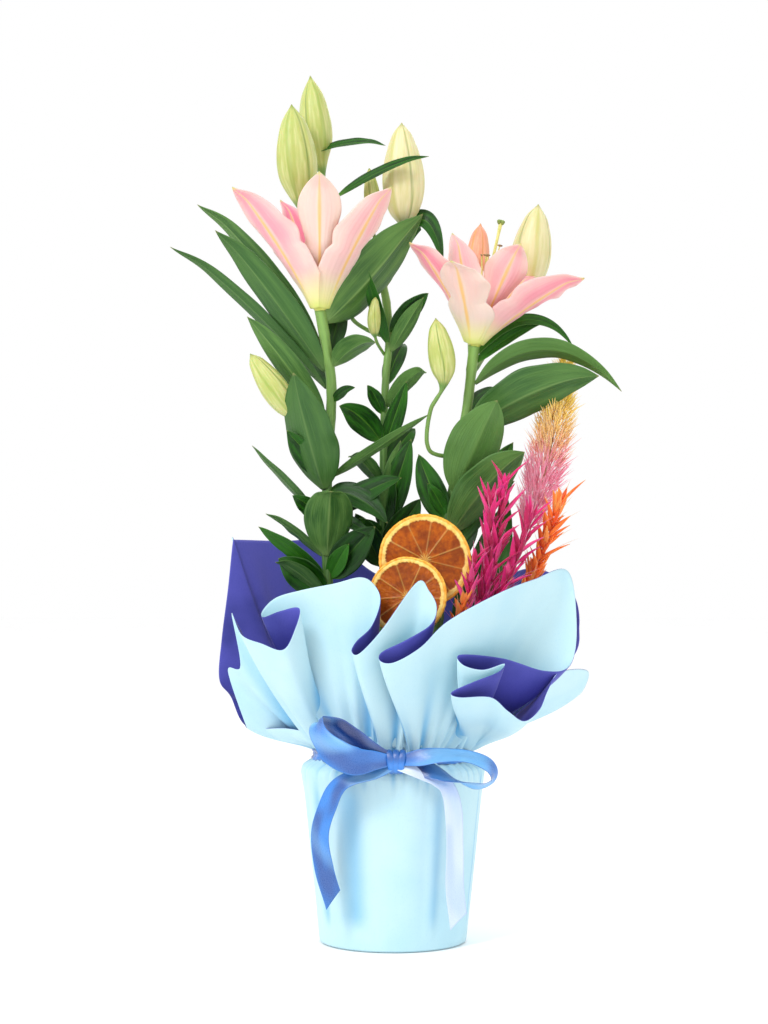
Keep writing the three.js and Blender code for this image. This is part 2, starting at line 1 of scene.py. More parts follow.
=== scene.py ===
"""A potted lily arrangement: paper wrap, ribbon bow, lilies, dried orange slices and dyed sprays.

Stems, leaves, tepals and buds that have a CAD node follow that node's rings, and the slices and
sprays are measured from theirs. The paper and ribbon follow given outlines measured from the
tie. The loose leaves and small buds have no CAD node: they are placed where the camera sees them.
"""

import math
import random

import bpy
import numpy as np
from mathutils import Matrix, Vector


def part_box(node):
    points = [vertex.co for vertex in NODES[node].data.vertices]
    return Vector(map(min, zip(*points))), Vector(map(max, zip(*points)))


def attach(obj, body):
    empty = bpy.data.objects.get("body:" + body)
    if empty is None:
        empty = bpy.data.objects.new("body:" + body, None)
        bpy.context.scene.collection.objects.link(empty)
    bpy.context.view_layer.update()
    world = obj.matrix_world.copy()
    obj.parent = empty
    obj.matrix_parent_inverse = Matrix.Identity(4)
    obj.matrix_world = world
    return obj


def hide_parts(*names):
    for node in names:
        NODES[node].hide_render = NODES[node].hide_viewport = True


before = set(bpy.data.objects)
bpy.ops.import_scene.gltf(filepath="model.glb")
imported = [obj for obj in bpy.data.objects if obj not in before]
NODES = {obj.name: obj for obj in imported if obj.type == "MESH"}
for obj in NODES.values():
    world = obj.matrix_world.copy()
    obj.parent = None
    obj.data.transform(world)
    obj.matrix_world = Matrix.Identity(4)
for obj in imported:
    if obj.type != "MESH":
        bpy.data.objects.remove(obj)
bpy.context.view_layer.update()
MM = 0.001
UP = np.array([0.0, 0.0, 1.0])
TAU = 2 * math.pi


# ---- reading the frame ----

def span(node):
    low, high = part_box(node)
    return np.array(low), np.array(high)


def rings_of(node, near):
    """The loft rings of a CAD node as arrays of points, from the end that is nearest to near."""
    mesh = NODES[node].data
    names, points, index = {}, [], []
    for vertex in mesh.vertices:
        key = tuple(round(c * 1e5) for c in vertex.co)
        if key not in names:
            names[key] = len(points)
            points.append(np.array(vertex.co))
        index.append(names[key])
    joined = [set() for _ in points]
    for edge in mesh.edges:
        a, b = (index[v] for v in edge.vertices)
        if a != b:
            joined[a].add(b)
            joined[b].add(a)

    def levels(start):
        found, seen = [[start]], {start}
        while True:
            ahead = []
            for a in found[-1]:
                for b in sorted(joined[a]):
                    if b not in seen:
                        seen.add(b)
                        ahead.append(b)
            if not ahead:
                return found
            found.append(ahead)

    first = levels(0)[-1][0]
    last = levels(first)[-1][0]
    distance = {k: np.linalg.norm(points[k] - np.array(near)) for k in (first, last)}
    start = min(distance, key=distance.get)
    return [np.array([points[k] for k in level]) for level in levels(start)]


def ring_axis(node, near):
    """Centres and radii of a round CAD loft."""
    rings = rings_of(node, near)
    centres = np.array([ring.mean(0) for ring in rings])
    radii = np.array([np.linalg.norm(r - r.mean(0), axis=1).mean() for r in rings])
    return centres, radii


def blade_spine(node, near):
    """Centres, half-width vectors and upper directions along a CAD blade."""
    rings = rings_of(node, near)
    centres, halves, uppers = [rings[0][0]], [], []
    for ring in rings[1:-1]:
        pairs = [(i, j) for i in range(4) for j in range(i + 1, 4)]
        left, right = max(pairs, key=lambda p: np.linalg.norm(ring[p[0]] - ring[p[1]]))
        middle = [k for k in range(4) if k not in (left, right)]
        edge_mean = (ring[left] + ring[right]) / 2
        mid_mean = ring[middle].mean(0)
        half = (ring[right] - ring[left]) / 2
        if halves and half @ halves[-1] < 0:
            half = -half
        centres.append(mid_mean)
        halves.append(half)
        uppers.append(edge_mean - mid_mean)
    centres.append(rings[-1][0])
    halves = [halves[0] * 0.2] + halves + [halves[-1] * 0.02]
    uppers = [uppers[0]] + uppers + [uppers[-1]]
    return np.array(centres), np.array(halves), np.array(uppers)


# ---- the camera, and places as it sees them ----

CAMERA_DISTANCE = 2.0
CAMERA_HEIGHT = 0.348
CAMERA_SIDE = -0.0072
FRAME_HEIGHT = 0.8315
SENSOR = 36.0
SEEN_SCALE = 1.015
SEEN_RISE = -9.3 * MM


def from_front(x, y, z):
    """The point at depth y that the camera sees at x and z mm in the plane through the axis."""
    nearer = 1 + y * MM / CAMERA_DISTANCE
    level = SEEN_SCALE * z * MM + SEEN_RISE
    side = SEEN_SCALE * (x * MM - CAMERA_SIDE)
    return np.array([
        CAMERA_SIDE + side * nearer,
        y * MM,
        CAMERA_HEIGHT + (level - CAMERA_HEIGHT) * nearer,
    ])


# ---- curves and noise ----

def smooth(points, count, closed=False):
    """A Catmull-Rom curve through points, sampled evenly in the points' own parameter."""
    p = np.asarray(points, float)
    if p.ndim == 1:
        p = p[:, None]
    n = len(p)
    if closed:
        t = np.linspace(0, n, count, endpoint=False)
        k = np.floor(t).astype(int)
        a, b, c, d = (p[(k + s) % n] for s in (-1, 0, 1, 2))
    else:
        t = np.linspace(0, n - 1, count)
        k = np.minimum(np.floor(t).astype(int), n - 2)
        ends = np.vstack([2 * p[0] - p[1], p, 2 * p[-1] - p[-2]])
        a, b, c, d = (ends[k + s] for s in (0, 1, 2, 3))
    f = (t - k)[:, None]
    out = 0.5 * (2 * b + (c - a) * f + (2 * a - 5 * b + 4 * c - d) * f**2 + (3 * b - a - 3 * c + d) * f**3)
    return out[:, 0] if np.asarray(points).ndim == 1 else out


def even(points, count):
    """Points spaced evenly by length along a smooth curve through the given ones."""
    fine = smooth(points, 40 * len(points))
    steps = np.linalg.norm(np.diff(fine, axis=0), axis=1)
    along = np.concatenate([[0], np.cumsum(steps)])
    target = np.linspace(0, along[-1], count)
    return np.column_stack([np.interp(target, along, fine[:, k]) for k in range(3)]), along[-1]


def unit(v):
    v = np.asarray(v, float)
    return v / np.maximum(np.linalg.norm(v, axis=-1, keepdims=True), 1e-12)


def tangents(points):
    return unit(np.gradient(points, axis=0))


def turned_frame(points, first_side):
    """Side and other directions that turn as little as possible along a curve."""
    along = tangents(points)
    side = unit(first_side - (first_side @ along[0]) * along[0])
    sides = []
    for t in along:
        side = unit(side - (side @ t) * t)
        sides.append(side)
    sides = np.array(sides)
    return sides, np.cross(along, sides)


class Waves:
    """Smooth seeded noise of one variable, as a sum of sine waves."""

    def __init__(self, seed, low, high, count=7, whole=False):
        rng = random.Random(seed)
        self.terms = [
            (rng.uniform(low, high), rng.uniform(0, TAU), rng.uniform(0.5, 1)) for _ in range(count)
        ]
        if whole:
            self.terms = [(round(f), p, a) for f, p, a in self.terms]

    def __call__(self, x):
        total = sum(a * np.sin(f * x + p) for f, p, a in self.terms)
        return total / sum(a for _, _, a in self.terms)


def round_turn(count):
    """Angles spaced evenly once round."""
    return np.linspace(0, TAU, count, endpoint=False)


def smoothstep(low, high, x):
    t = np.clip((x - low) / (high - low), 0, 1)
    return t * t * (3 - 2 * t)


# ---- meshes ----

def make_object(name, points, faces, materials, uv=None, index=None, floats=None):
    mesh = bpy.data.meshes.new(name)
    mesh.from_pydata([tuple(p) for p in points], [], [tuple(f) for f in faces])
    for material in materials:
        mesh.materials.append(material)
    mesh.polygons.foreach_set("use_smooth", [True] * len(mesh.polygons))
    if index is not None:
        mesh.polygons.foreach_set("material_index", list(index))
    if uv is not None:
        layer = mesh.uv_layers.new(name="along")
        loops = np.zeros(len(mesh.loops), int)
        mesh.loops.foreach_get("vertex_index", loops)
        layer.data.foreach_set("uv", np.asarray(uv, np.float32)[loops].ravel())
    for key, values in (floats or {}).items():
        attribute = mesh.attributes.new(key, "FLOAT", "POINT")
        attribute.data.foreach_set("value", np.asarray(values, np.float32))
    mesh.update()
    mesh.validate()
    piece = bpy.data.objects.new(name, mesh)
    bpy.context.scene.collection.objects.link(piece)
    return piece


def finish_piece(piece, slot, *nodes):
    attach(piece, "root")
    if nodes:
        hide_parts(*nodes)
    return piece


def quads(rows, columns, wrap_columns=False, wrap_rows=False, start=0):
    r = np.arange(rows if wrap_rows else rows - 1)
    c = np.arange(columns if wrap_columns else columns - 1)
    r, c = np.meshgrid(r, c, indexing="ij")
    r2, c2 = (r + 1) % rows, (c + 1) % columns
    at = lambda i, j: start + i * columns + j
    return np.stack([at(r, c), at(r, c2), at(r2, c2), at(r2, c)], axis=-1).reshape(-1, 4)


def grid_uv(u, v):
    """Texture places for a grid: u down its rows and v across its columns."""
    return np.stack(np.broadcast_arrays(u[:, None], v[None]), axis=-1)


def grid_normals(grid, wrap=False):
    if wrap:
        padded = np.concatenate([grid[:, -1:], grid, grid[:, :1]], axis=1)
        across = np.gradient(padded, axis=1)[:, 1:-1]
    else:
        across = np.gradient(grid, axis=1)
    return unit(np.cross(across, np.gradient(grid, axis=0)))


def skin_piece(name, grid, thickness, materials, uv, wrap=False, floats=None):
    """A thin sheet from a grid of points: material 0 on the side its normals point to, 1 behind."""
    rows, columns = grid.shape[:2]
    normal = grid_normals(grid, wrap)
    half = thickness / 2
    top = (grid + normal * half).reshape(-1, 3)
    under = (grid - normal * half).reshape(-1, 3)
    count = rows * columns
    upper = quads(rows, columns, wrap)
    lower = upper[:, ::-1] + count
    sides = []
    for row, flip in [(0, False), (rows - 1, True)]:
        for c in range(columns if wrap else columns - 1):
            a, b = row * columns + c, row * columns + (c + 1) % columns
            face = (a, b, b + count, a + count) if flip else (b, a, a + count, b + count)
            sides.append(face)
    if not wrap:
        for column, flip in [(0, True), (columns - 1, False)]:
            for r in range(rows - 1):
                a, b = r * columns + column, (r + 1) * columns + column
                face = (a, b, b + count, a + count) if flip else (b, a, a + count, b + count)
                sides.append(face)
    faces = [*map(tuple, upper), *map(tuple, lower), *sides]
    last = len(materials) - 1
    index = [0] * len(upper) + [last] * len(lower) + [last] * len(sides)
    uv2 = np.concatenate([uv.reshape(-1, 2)] * 2)
    two = {k: np.concatenate([v.ravel()] * 2) for k, v in (floats or {}).items()}
    return make_object(name, np.concatenate([top, under]), faces, materials, uv2, index, two)


class Gathered:
    """Many small closed shapes collected into one mesh."""

    def __init__(self):
        self.points, self.faces, self.uv, self.tone = [], [], [], []

    def add(self, points, faces, uv, tone):
        start = sum(len(p) for p in self.points)
        self.points.append(points)
        self.faces.extend(tuple(int(k) + start for k in face) for face in faces)
        self.uv.append(uv)
        self.tone.append(np.full(len(points), tone))

    def loft(self, centres, radii, sides=8, tone=0.5, flat=1.0, side=UP):
        points, faces, uv = loft_arrays(np.asarray(centres, float), radii, sides, flat, side)
        self.add(points, faces, uv, tone)

    def build(self, name, materials):
        return make_object(
            name,
            np.concatenate(self.points),
            self.faces,
            materials,
            np.concatenate(self.uv),
            floats={"tone": np.concatenate(self.tone)},
        )


def loft_arrays(centres, radii, sides, flat=1.0, side=UP):
    """A closed round loft; radii is one number a ring, or a ring of them."""
    side = np.array(side, float)
    along = tangents(centres)
    if abs(side @ along[0]) > 0.95:
        side = np.array([1.0, 0.0, 0.0])
    across, other = turned_frame(centres, side)
    turn = round_turn(sides)
    radii = np.asarray(radii, float)
    if radii.ndim == 1:
        radii = np.repeat(radii[:, None], sides, axis=1)
    ring = across[:, None] * (radii * np.cos(turn))[..., None]
    ring = ring + other[:, None] * (radii * flat * np.sin(turn))[..., None]
    body = (centres[:, None] + ring).reshape(-1, 3)
    rows = len(centres)
    points = np.vstack([body, centres[0], centres[-1]])
    faces = [tuple(f) for f in quads(rows, sides, True)]
    top = rows * sides
    faces += [(top, (k + 1) % sides, k) for k in range(sides)]
    last = (rows - 1) * sides
    faces += [(top + 1, last + k, last + (k + 1) % sides) for k in range(sides)]
    u = np.repeat(np.linspace(0, 1, rows), sides)
    v = np.tile(turn / TAU, rows)
    uv = np.vstack([np.column_stack([u, v]), [[0, 0], [1, 0]]])
    return points, faces, uv


# ---- materials ----

def linear(*rgb):
    """Colour from 0 to 255 sRGB to Blender's linear values."""
    return tuple(((c / 255 + 0.055) / 1.055) ** 2.4 if c > 10 else c / 255 / 12.92 for c in rgb) + (1.0,)


class Paint:
    """A node material built up in code."""

    def __init__(self, name, roughness, **sockets):
        self.material = bpy.data.materials.new(name)
        self.material.use_nodes = True
        self.tree = self.material.node_tree
        self.shader = self.tree.nodes["Principled BSDF"]
        self.shader.inputs["Roughness"].default_value = roughness
        for key, value in sockets.items():
            self.shader.inputs[key.replace("_", " ")].default_value = value

    def node(self, kind, **settings):
        made = self.tree.nodes.new("ShaderNode" + kind)
        for key, value in settings.items():
            setattr(made, key, value)
        return made

    def feed(self, socket, value):
        if hasattr(value, "is_output"):
            self.tree.links.new(value, socket)
        else:
            socket.default_value = value

    def attribute(self, name):
        return self.node("Attribute", attribute_name=name).outputs["Fac"]

    def uv(self):
        split = self.node("SeparateXYZ")
        self.feed(split.inputs[0], self.node("UVMap", uv_map="along").outputs[0])
        return split.outputs[0], split.outputs[1]

    def math(self, operation, a, b=0.0, clamp=False):
        made = self.node("Math", operation=operation, use_clamp=clamp)
        self.feed(made.inputs[0], a)
        self.feed(made.inputs[1], b)
        return made.outputs[0]

    def ramp(self, value, low, high, out_low=0.0, out_high=1.0):
        made = self.node("MapRange", interpolation_type="SMOOTHSTEP")
        for socket, number in zip(made.inputs[:5], (value, low, high, out_low, out_high)):
            self.feed(socket, number)
        return made.outputs[0]

    def mix(self, share, first, second, blend="MIX"):
        made = self.node("Mix", data_type="RGBA", blend_type=blend)
        self.feed(made.inputs[0], share)
        self.feed(made.inputs[6], first)
        self.feed(made.inputs[7], second)
        return made.outputs[2]

    def over(self, base, colour, value, low, high, most=1.0):
        """The base with a colour laid over it, more and more as value goes from low to high."""
        return self.mix(self.ramp(value, low, high, 0.0, most), base, colour)

    def stretched(self, x, y, z):
        """The piece's own coordinates with each axis scaled."""
        mapping = self.node("Mapping")
        self.feed(mapping.inputs[0], self.node("TexCoord").outputs["Object"])
        mapping.inputs["Scale"].default_value = (x, y, z)
        return mapping.outputs[0]

    def along_uv(self, u_scale, v_scale):
        mapping = self.node("Mapping")
        self.feed(mapping.inputs[0], self.node("UVMap", uv_map="along").outputs[0])
        mapping.inputs["Scale"].default_value = (u_scale, v_scale, 1)
        return mapping.outputs[0]

    def noise(self, vector, scale, detail=4.0, rough=0.55):
        made = self.node("TexNoise")
        self.feed(made.inputs["Vector"], vector)
        made.inputs["Scale"].default_value = scale
        made.inputs["Detail"].default_value = detail
        made.inputs["Roughness"].default_value = rough
        return made.outputs["Fac"]

    def color(self, socket):
        self.feed(self.shader.inputs["Base Color"], socket)

    def rough(self, value, low, high):
        self.feed(self.shader.inputs["Roughness"], self.ramp(value, 0.3, 0.7, low, high))

    def bump(self, height, strength, distance):
        made = self.node("Bump")
        made.inputs["Strength"].default_value = strength
        made.inputs["Distance"].default_value = distance
        self.feed(made.inputs["Height"], height)
        self.feed(self.shader.inputs["Normal"], made.outputs[0])


def paper_paint(name, pale, mid, deep):
    """Florist paper: a fine felted tone and broad cloudiness. Its hollows and creases get a painted shade in
    the deep colour.
    """
    paint = Paint(name, 0.6, Sheen_Weight=0.15, Sheen_Roughness=0.5, Specular_IOR_Level=0.35)
    broad = paint.noise(paint.stretched(1, 1, 1), 14, 3)
    felt = paint.noise(paint.stretched(1, 1, 0.6), 900, 3)
    tone = paint.over(pale, mid, broad, 0.35, 0.7)
    tone = paint.over(tone, deep, felt, 0.52, 0.8, 0.1)
    # Painted shade: the deep colour laid where the pleats hollow, beside folded-over edges and beside the
    # pot's long folds.
    tone = paint.over(tone, deep, paint.attribute("painted_shade"), 0.05, 0.8, 0.9)
    paint.color(tone)
    paint.rough(felt, 0.52, 0.68)
    paint.bump(felt, 0.12, 0.0002)
    return paint.material


def satin_paint(name, dark, light, bright):
    """Satin ribbon: fine threads and woven edges. Its light and dark bands are painted light and shade, not
    reflected.
    """
    paint = Paint(name, 0.26, Sheen_Weight=0.12, Sheen_Roughness=0.3, Specular_IOR_Level=1.0,
                  Anisotropic=0.6, Coat_Weight=0.3, Coat_Roughness=0.3)
    _, v = paint.uv()
    threads = paint.noise(paint.along_uv(60, 1.5), 9, 4)
    cross = paint.node("TexWave", wave_type="BANDS", bands_direction="Y")
    paint.feed(cross.inputs["Vector"], paint.along_uv(1, 1))
    cross.inputs["Scale"].default_value = 14
    cross.inputs["Distortion"].default_value = 0.6
    # Painted light and shade: broad bands from the dark to the light satin colour along the ribbon, standing
    # in for folds catching the light.
    folds = paint.noise(paint.along_uv(2.6, 0.9), 1, 1)
    tone = paint.over(dark, light, folds, 0.38, 0.62)
    tone = paint.over(tone, light, threads, 0.4, 0.7, 0.18)
    # Painted highlight: the bright colour where the sheen attribute is high.
    tone = paint.mix(paint.attribute("sheen"), tone, bright)
    edge = paint.math("ABSOLUTE", paint.math("SUBTRACT", v, 0.5))
    tone = paint.over(tone, light, edge, 0.44, 0.48, 0.6)
    paint.color(tone)
    paint.rough(threads, 0.24, 0.4)
    height = paint.math("ADD", paint.math("MULTIPLY", cross.outputs["Fac"], 0.3), threads)
    paint.bump(height, 0.3, 0.00025)
    return paint.material


def leaf_paint(name, dark, light, rib, roughness):
    """A lily leaf's face: veins along it, a paler midrib and drifting greens."""
    paint = Paint(name, roughness, Specular_IOR_Level=0.32, Coat_Weight=0.05,
                  Coat_Roughness=0.25)
    u, v = paint.uv()
    tone = paint.attribute("tone")
    veins = paint.noise(paint.along_uv(1.6, 30), 1, 3)
    patches = paint.noise(paint.along_uv(1.7, 4), 1, 3)
    base = paint.over(dark, light, patches, 0.3, 0.7)
    base = paint.over(base, light, veins, 0.5, 0.64, 0.5)
    middle = paint.math("ABSOLUTE", paint.math("SUBTRACT", v, 0.5))
    base = paint.over(base, rib, middle, 0.035, 0.0, 0.6)
    foot = paint.ramp(u, 0.14, 0.0, 0, 0.6)
    base = paint.mix(foot, base, rib)
    tinted = paint.over(base, light, tone, 0.5, 1.0, 0.7)
    tinted = paint.over(tinted, dark, tone, 0.5, 0.0, 0.7)
    tip = paint.ramp(u, 0.965, 1.0, 0, 0.7)
    paint.color(paint.mix(tip, tinted, linear(150, 150, 90)))
    paint.rough(patches, roughness - 0.07, roughness + 0.1)
    paint.bump(veins, 0.8, 0.0008)
    return paint.material


def tepal_paint(name, deep, blush, cream, rib, strength):
    """A lily tepal: cream margins, pink either side of a yellow rib and a green-yellow foot."""
    paint = Paint(name, 0.5, Subsurface_Weight=0.3, Subsurface_Scale=0.004, Sheen_Weight=0.12,
                  Sheen_Roughness=0.4, Specular_IOR_Level=0.35)
    paint.shader.inputs["Subsurface Radius"].default_value = (1.0, 0.55, 0.45)
    u, v = paint.uv()
    tone = paint.attribute("tone")
    across = paint.math("MULTIPLY", paint.math("ABSOLUTE", paint.math("SUBTRACT", v, 0.5)), 2.0)
    streak = paint.noise(paint.along_uv(2.5, 34), 1, 4)
    cloud = paint.noise(paint.stretched(1, 1, 1), 40, 3)
    wander = paint.math("ADD", across, paint.math("MULTIPLY", paint.math("SUBTRACT", streak, 0.5), 0.5))
    band = paint.math("MULTIPLY", paint.ramp(wander, 0.06, 0.22), paint.ramp(wander, 0.95, 0.35))
    along = paint.ramp(u, 0.12, 0.62)
    pink = paint.math("MULTIPLY", paint.math("MULTIPLY", band, along), strength)
    pink = paint.math("MULTIPLY", pink, paint.ramp(tone, 0.0, 1.0, 0.15, 1.35), clamp=True)
    rosy = paint.ramp(tone, 0.0, 0.8, 0.15, 1.0)
    color = paint.mix(paint.math("MULTIPLY", paint.ramp(cloud, 0.25, 0.7, 0.3, 1.0), rosy), cream, blush)
    color = paint.mix(paint.math("MULTIPLY", paint.ramp(u, 0.3, 0.9, 0, 0.6), rosy), color, blush)
    color = paint.mix(pink, color, deep)
    color = paint.over(color, cream, streak, 0.55, 0.75, 0.22)
    ribbed = paint.math("MULTIPLY", paint.ramp(across, 0.13, 0.02), paint.ramp(u, 1.0, 0.55, 0.55, 0.9))
    color = paint.mix(ribbed, color, rib)
    color = paint.over(color, linear(243, 236, 150), u, 0.34, 0.04, 0.85)
    color = paint.over(color, linear(214, 220, 110), u, 0.1, 0.0, 0.8)
    color = paint.over(color, linear(200, 205, 110), u, 0.955, 1.0, 0.8)
    paint.color(color)
    paint.rough(streak, 0.42, 0.58)
    paint.bump(streak, 0.35, 0.0004)
    return paint.material


def bud_paint(name, body, rib, seam, tip):
    """A closed bud: paler panels, ribs down their middles and darker seams."""
    paint = Paint(name, 0.42, Subsurface_Weight=0.2, Subsurface_Scale=0.004, Specular_IOR_Level=0.45)
    u, _ = paint.uv()
    streak = paint.noise(paint.along_uv(3, 26), 1, 4)
    cloud = paint.noise(paint.stretched(1, 1, 1), 60, 3)
    seams = paint.attribute("seam")
    ribs = paint.attribute("rib")
    stalk = paint.attribute("stalk")
    color = paint.over(body, rib, streak, 0.35, 0.7)
    color = paint.mix(paint.math("MULTIPLY", paint.ramp(ribs, 0.35, 1.0), 0.55), color, tip)
    color = paint.mix(paint.math("MULTIPLY", paint.ramp(seams, 0.55, 1.0), 0.75), color, seam)
    color = paint.over(color, tip, cloud, 0.55, 0.8, 0.3)
    color = paint.over(color, seam, u, 0.93, 1.0, 0.7)
    color = paint.mix(stalk, color, linear(112, 150, 72))
    paint.color(color)
    paint.rough(streak, 0.36, 0.5)
    paint.bump(streak, 0.4, 0.0004)
    return paint.material


def stem_paint():
    paint = Paint("lily_stem", 0.5, Subsurface_Weight=0.05, Subsurface_Scale=0.002)
    u, _ = paint.uv()
    streak = paint.noise(paint.along_uv(14, 10), 1, 4)
    spots = paint.noise(paint.stretched(1, 1, 0.4), 700, 3)
    color = paint.over(linear(50, 92, 32), linear(92, 134, 56), streak, 0.3, 0.7)
    color = paint.over(color, linear(150, 190, 98), u, 0.55, 1.0, 0.55)
    color = paint.over(color, linear(84, 96, 52), spots, 0.62, 0.72, 0.4)
    paint.color(color)
    paint.rough(streak, 0.4, 0.6)
    paint.bump(streak, 0.4, 0.0005)
    return paint.material


def toned_paint(name, first, second, third, roughness=0.75, through=0.5, sheen=0.2):
    """Dyed dried stuff: each husk or hair has its own tone, and light passes through it."""
    paint = Paint(name, roughness, Sheen_Weight=sheen, Sheen_Roughness=0.5, Subsurface_Weight=through,
                  Subsurface_Scale=0.006)
    paint.shader.inputs["Subsurface Radius"].default_value = (1.0, 0.8, 0.6)
    tone = paint.attribute("tone")
    grain = paint.noise(paint.along_uv(6, 9), 1, 3)
    color = paint.over(first, second, tone, 0.0, 0.5)
    color = paint.over(color, third, tone, 0.5, 1.0)
    color = paint.over(color, third, grain, 0.5, 0.75, 0.35)
    paint.color(color)
    paint.bump(grain, 0.4, 0.0003)
    return paint.material


def slice_paint():
    """A dried orange slice: peel, pith, membranes and glassy dark flesh."""
    paint = Paint("dried_orange", 0.45, Specular_IOR_Level=0.22, Coat_Weight=0.06, Coat_Roughness=0.25)
    grain = paint.noise(paint.stretched(1, 1, 1), 260, 5)
    cells = paint.node("TexVoronoi", feature="F1")
    paint.feed(cells.inputs["Vector"], paint.stretched(1, 1, 1))
    cells.inputs["Scale"].default_value = 420
    streak = paint.noise(paint.along_uv(3, 46), 1.5, 5, 0.7)
    flesh = paint.over(linear(140, 58, 0), linear(190, 98, 0), grain, 0.3, 0.7)
    flesh = paint.over(flesh, linear(236, 146, 20), streak, 0.5, 0.8, 0.5)
    flesh = paint.over(flesh, linear(168, 76, 2), cells.outputs["Distance"], 0.1, 0.6, 0.5)
    broad = paint.noise(paint.stretched(1, 1, 1), 70, 3)
    flesh = paint.over(flesh, linear(112, 42, 0), broad, 0.45, 0.62, 0.6)
    pith = paint.over(linear(250, 218, 128), linear(240, 190, 86), grain, 0.35, 0.7)
    peel = paint.over(linear(252, 196, 84), linear(240, 150, 36), grain, 0.35, 0.7)
    color = paint.mix(paint.math("MULTIPLY", paint.attribute("membrane"), 0.55), flesh, pith)
    color = paint.mix(paint.attribute("pith"), color, pith)
    color = paint.mix(paint.attribute("peel"), color, peel)
    paint.color(color)
    paint.rough(grain, 0.3, 0.52)
    paint.bump(grain, 0.5, 0.0006)
    return paint.material


def speckled_paint(name, dark, light, scale, roughness, depth):
    paint = Paint(name, roughness)
    grain = paint.noise(paint.stretched(1, 1, 1), scale, 6, 0.65)
    paint.color(paint.over(dark, light, grain, 0.35, 0.68))
    paint.rough(grain, roughness - 0.08, min(1, roughness + 0.08))
    paint.bump(grain, 0.6, depth)
    return paint.material


# The third colour of each paper is both its felt flecks and its painted shade.
PAPER_BLUE = paper_paint("paper_blue", linear(192, 224, 232), linear(180, 218, 230), linear(66, 166, 218))
PAPER_NAVY = paper_paint("paper_navy", linear(80, 82, 182), linear(50, 56, 142), linear(26, 32, 88))
SATIN = satin_paint("satin_blue", linear(2, 76, 156), linear(14, 124, 216), linear(140, 204, 250))
# Painted shade: a darker copy of the satin for the ribbon's back face, so the insides of the loops read dark.
SATIN_SHADED = satin_paint("satin_shaded", linear(2, 38, 104), linear(8, 78, 166), linear(80, 148, 220))
# Painted reflection: a pale copy of the satin for the right tail, standing in for the light its face
# reflects.
SATIN_LIT = satin_paint("satin_lit", linear(180, 202, 236), linear(200, 216, 242), linear(226, 236, 252))
LEAF_TOP = leaf_paint("leaf_top", linear(8, 46, 4), linear(44, 112, 12), linear(104, 158, 50), 0.42)
LEAF_UNDER = leaf_paint("leaf_under", linear(46, 90, 34), linear(92, 134, 62), linear(138, 172, 98), 0.45)
TEPAL_OUT = tepal_paint("tepal_outer_face", linear(236, 136, 158), linear(238, 182, 182),
                        linear(234, 212, 196), linear(238, 186, 112), 0.66)
TEPAL_IN = tepal_paint("tepal_inner_face", linear(232, 128, 156), linear(236, 176, 184),
                       linear(234, 206, 196), linear(232, 186, 100), 0.75)
# The colours of each bud's body, ribs, seams and tip.
BUD_COLOURS = {
    "green": [(178, 188, 100), (206, 208, 140), (104, 130, 44), (138, 164, 60)],
    "cream": [(212, 206, 146), (228, 220, 176), (138, 148, 76), (190, 192, 104)],
    "blush": [(240, 160, 130), (246, 184, 150), (206, 140, 50), (238, 160, 70)],
}
BUD_PAINTS = {
    name: bud_paint(f"bud_{name}", *(linear(*colour) for colour in colours))
    for name, colours in BUD_COLOURS.items()
}
STEM = stem_paint()
STYLE = speckled_paint("style", linear(206, 206, 110), linear(236, 230, 150), 300, 0.45, 0.0002)
RECEPTACLE = speckled_paint("receptacle", linear(206, 212, 92), linear(236, 234, 140), 260, 0.45, 0.0003)
STIGMA = speckled_paint("stigma", linear(96, 120, 52), linear(150, 168, 84), 700, 0.5, 0.0004)
ANTHER = speckled_paint("anther", linear(120, 92, 60), linear(166, 140, 96), 700, 0.8, 0.0004)
ORANGE = slice_paint()
WOOD = speckled_paint("pick_wood", linear(150, 118, 74), linear(196, 166, 116), 240, 0.8, 0.0004)
SOIL = speckled_paint("potting_soil", linear(38, 26, 17), linear(84, 62, 42), 160, 0.95, 0.0016)
POT = speckled_paint("grow_pot", linear(62, 50, 42), linear(82, 66, 54), 90, 0.5, 0.0002)
PLUME = toned_paint("plume_hair", linear(255, 150, 184), linear(255, 206, 120), linear(255, 222, 70),
                    through=0.05, sheen=0.7)
SPIKE = toned_paint("orange_husk", linear(226, 70, 6), linear(250, 112, 20), linear(252, 164, 84))
MAGENTA = toned_paint("magenta_husk", linear(172, 2, 74), linear(216, 10, 112), linear(244, 104, 160))


# ---- camera, light and floor ----

